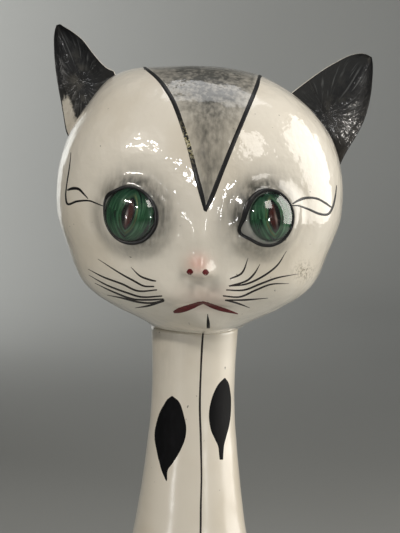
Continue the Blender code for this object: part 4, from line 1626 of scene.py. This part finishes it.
CAD_FINISHES = {
    Finish.FELT: ("felt_pad",),
    Finish.WOOD: ("foot_board", "spine_dowel", "neck_plug", "head_block"),
    Finish.PLASTER: ("plaster_ballast",),
    Finish.STEEL: ("foot_screw", "tail_wire"),
    Finish.PUTTY: ("eye_putty_left", "eye_putty_right"),
}


def dress_cad_nodes(nodes: dict[str, bpy.types.Object]) -> None:
    """Gives the CAD pieces that stay their real finishes."""
    for finish, names in CAD_FINISHES.items():
        for name in names:
            slots = nodes[name].data.materials
            slots.clear()
            slots.append(finish.material())
            log.info("%s keeps its CAD solid", name)


@dataclass(frozen=True)
class Lamp:
    """A soft rectangular lamp; its places are in millimetres, from the head unless it says so."""

    name: str
    place: Point3
    size: Point2
    power: float
    colour: str = "#FFFFFF"
    aim: Point3 | None = None

    def build(self, head: Vector) -> None:
        """Makes the lamp, turned at the head, or set and aimed in the room if it has an aim."""
        aim = head if self.aim is None else Vector(self.aim)
        place = head + Vector(self.place) if self.aim is None else Vector(self.place)
        lamp = bpy.data.lights.new(self.name, "AREA")
        lamp.shape = "RECTANGLE"
        lamp.size, lamp.size_y = (s * MM for s in self.size)
        lamp.energy = self.power
        lamp.color = linear(self.colour)[:3]
        made = bpy.data.objects.new(self.name, lamp)
        made.location = place * MM
        made.rotation_euler = (aim - place).to_track_quat("-Z", "Y").to_euler()
        made.visible_camera = False
        bpy.context.scene.collection.objects.link(made)


LAMPS = (
    Lamp("side_window", (880, 120, 260), (800, 1000), 9.6, "#FFFBF4"),
    Lamp("front_window", (420, -600, 520), (260, 340), 1.5, "#FFFAF2"),
    Lamp("narrow_window", (-640, -700, 640), (400, 60), 4.4, "#FFF9F0"),
    Lamp("low_pane", (-180, -820, 330), (50, 70), 0.8),
    Lamp("low_right_pane", (480, -740, -40), (40, 88), 0.45),
    Lamp("low_left_pane", (-560, -700, -60), (48, 88), 0.45),
    Lamp("top_light", (100, 200, 1000), (700, 500), 2.6),
    Lamp("backdrop_wash", (-1200, 1800, 650), (300, 300), 19, aim=(-700, 2600, 560)),
)


@dataclass
class Studio:
    """A plain pale sweep with soft light, seen from the front."""

    view: Viewpoint
    roll: float = 1.3
    lens: float = 112.6
    pale: str = "#A9AAA7"
    shade: str = "#A0A19E"
    room: str = "#B9BCBF"
    room_strength: float = 0.12
    flat: float = 2200.0
    bend: float = 500.0
    wall: float = 2300.0
    FLOOR_ROWS = 0.4  # the share of the sweep's rows on its floor
    BEND_ROWS = 0.6  # and the share up to the top of its bend

    def make_sweep(self) -> None:
        """A round paper cove: a level floor that curves up into a wall all round."""

        def place(u: float, v: float) -> Vector:
            """The paper's place: v runs out from the middle of the floor and up the wall."""
            turn, level, height = math.tau * u, mix(0.0, self.flat, v / self.FLOOR_ROWS), 0.0
            if v > self.BEND_ROWS:
                level = self.flat + self.bend
                height = mix(self.bend, self.wall, (v - self.BEND_ROWS) / (1 - self.BEND_ROWS))
            elif v > self.FLOOR_ROWS:
                share = (v - self.FLOOR_ROWS) / (self.BEND_ROWS - self.FLOOR_ROWS)
                lean = share * math.pi / 2
                level = self.flat + self.bend * math.sin(lean)
                height = self.bend * (1 - math.cos(lean))
            return Vector((level * math.cos(turn), level * math.sin(turn), height))

        s = Surface("matte_backdrop_paper", roughness=0.95)
        s.link(base_color=s.layer(self.pale, self.shade, s.grain(400, 1)))
        mesh_object("paper_sweep", wrapped_grid(96, 40, place), [s.material])

    def make_lights(self) -> None:
        """A large window at the cat's left, smaller ones in front, a top light and a dim room.

        The small low panes put glints on the lacquer, and the wash lights the backdrop.
        """
        for lamp in LAMPS:
            lamp.build(self.view.aim)
        world = bpy.data.worlds.new("soft_grey_room")
        world.use_nodes = True
        background = world.node_tree.nodes["Background"]
        background.inputs["Color"].default_value = linear(self.room)
        background.inputs["Strength"].default_value = self.room_strength
        bpy.context.scene.world = world
        bpy.context.scene.view_settings.view_transform = "Standard"

    def make_camera(self) -> None:
        """A long lens level with the face, rolled as a hand-held one is."""
        camera = bpy.data.cameras.new("camera")
        camera.lens = self.lens
        camera.sensor_width = 36
        camera.clip_start = 0.01
        made = bpy.data.objects.new("camera", camera)
        facing = (-self.view.back).to_track_quat("-Z", "Y").to_matrix()
        placed = (facing @ Matrix.Rotation(math.radians(self.roll), 3, "Z")).to_4x4()
        placed.translation = self.view.eye * MM
        made.matrix_world = placed
        bpy.context.scene.collection.objects.link(made)
        bpy.context.scene.camera = made

    def build(self) -> None:
        """Makes the sweep, lights and camera."""
        self.make_sweep()
        self.make_lights()
        self.make_camera()


NECK_JOINT = frame["joints"][0]["pos_m"][2] / MM
HEAD_ON = Viewpoint(Vector((1.3, 0, NECK_JOINT + 19.6)))


def main() -> None:
    """Builds the figure and its studio."""
    logging.basicConfig(level=logging.INFO, format="%(message)s")
    eyes = [
        Eye(
            "left", opening=8.3, corner_angle=206, corner_reach=1.3, corner_spread=17,
            flat_angle=160, flat_depth=0.7, line=LEFT_EYE_LINE, dark_side=1, disc=(0.9, 0.3),
            disc_radius=7.4, pupil=(1.0, 0.4), pupil_tilt=-8,
        ),
        Eye(
            "right", opening=8.55, corner_angle=152, corner_reach=0.9, corner_spread=15,
            flat_angle=50, flat_depth=0.4, line=RIGHT_EYE_LINE, disc=(0.2, 0.0), pupil=(0.6, 0.3),
            pupil_tilt=13,
        ),
    ]
    head = Head(NECK_JOINT, HEAD_ON, eyes)
    head.build()
    ears = [
        Ear(
            "ear_left", head, side=1, inner=40.5, outer=79.6, lean=31.4, height=31.3, top=1.04,
            inner_edge=LEFT_EAR_INNER, outer_edge=LEFT_EAR_OUTER, nudge=(-0.8, 0.4),
        ),
        Ear(
            "ear_right", head, side=-1, inner=34.2, outer=64.6, lean=23.4, height=27.9, top=0.98,
            inner_edge=RIGHT_EAR_INNER, outer_edge=RIGHT_EAR_OUTER, nudge=(-1.6, 1.2), bare=1.0,
        ),
    ]
    for ear in ears:
        ear.build()
    body = Body(NECK_JOINT)
    body.build()
    for side, way in (("left", 1), ("right", -1)):
        front_angle = math.degrees(math.asin(body.leg_spacing / body.half_width))
        front_size, hind_size = Vector((10.5, 14, 8)), Vector((9.5, 16, 7.5))
        Paw(f"front_paw_{side}", body, way * front_angle, front_size, out=1.0).build()
        Paw(f"hind_paw_{side}", body, way * 47.0, hind_size, out=1.5).build()
    Tail(body).build()
    dress_cad_nodes(frame["nodes"])
    Studio(HEAD_ON).build()


if __name__ == "__main__":
    main()
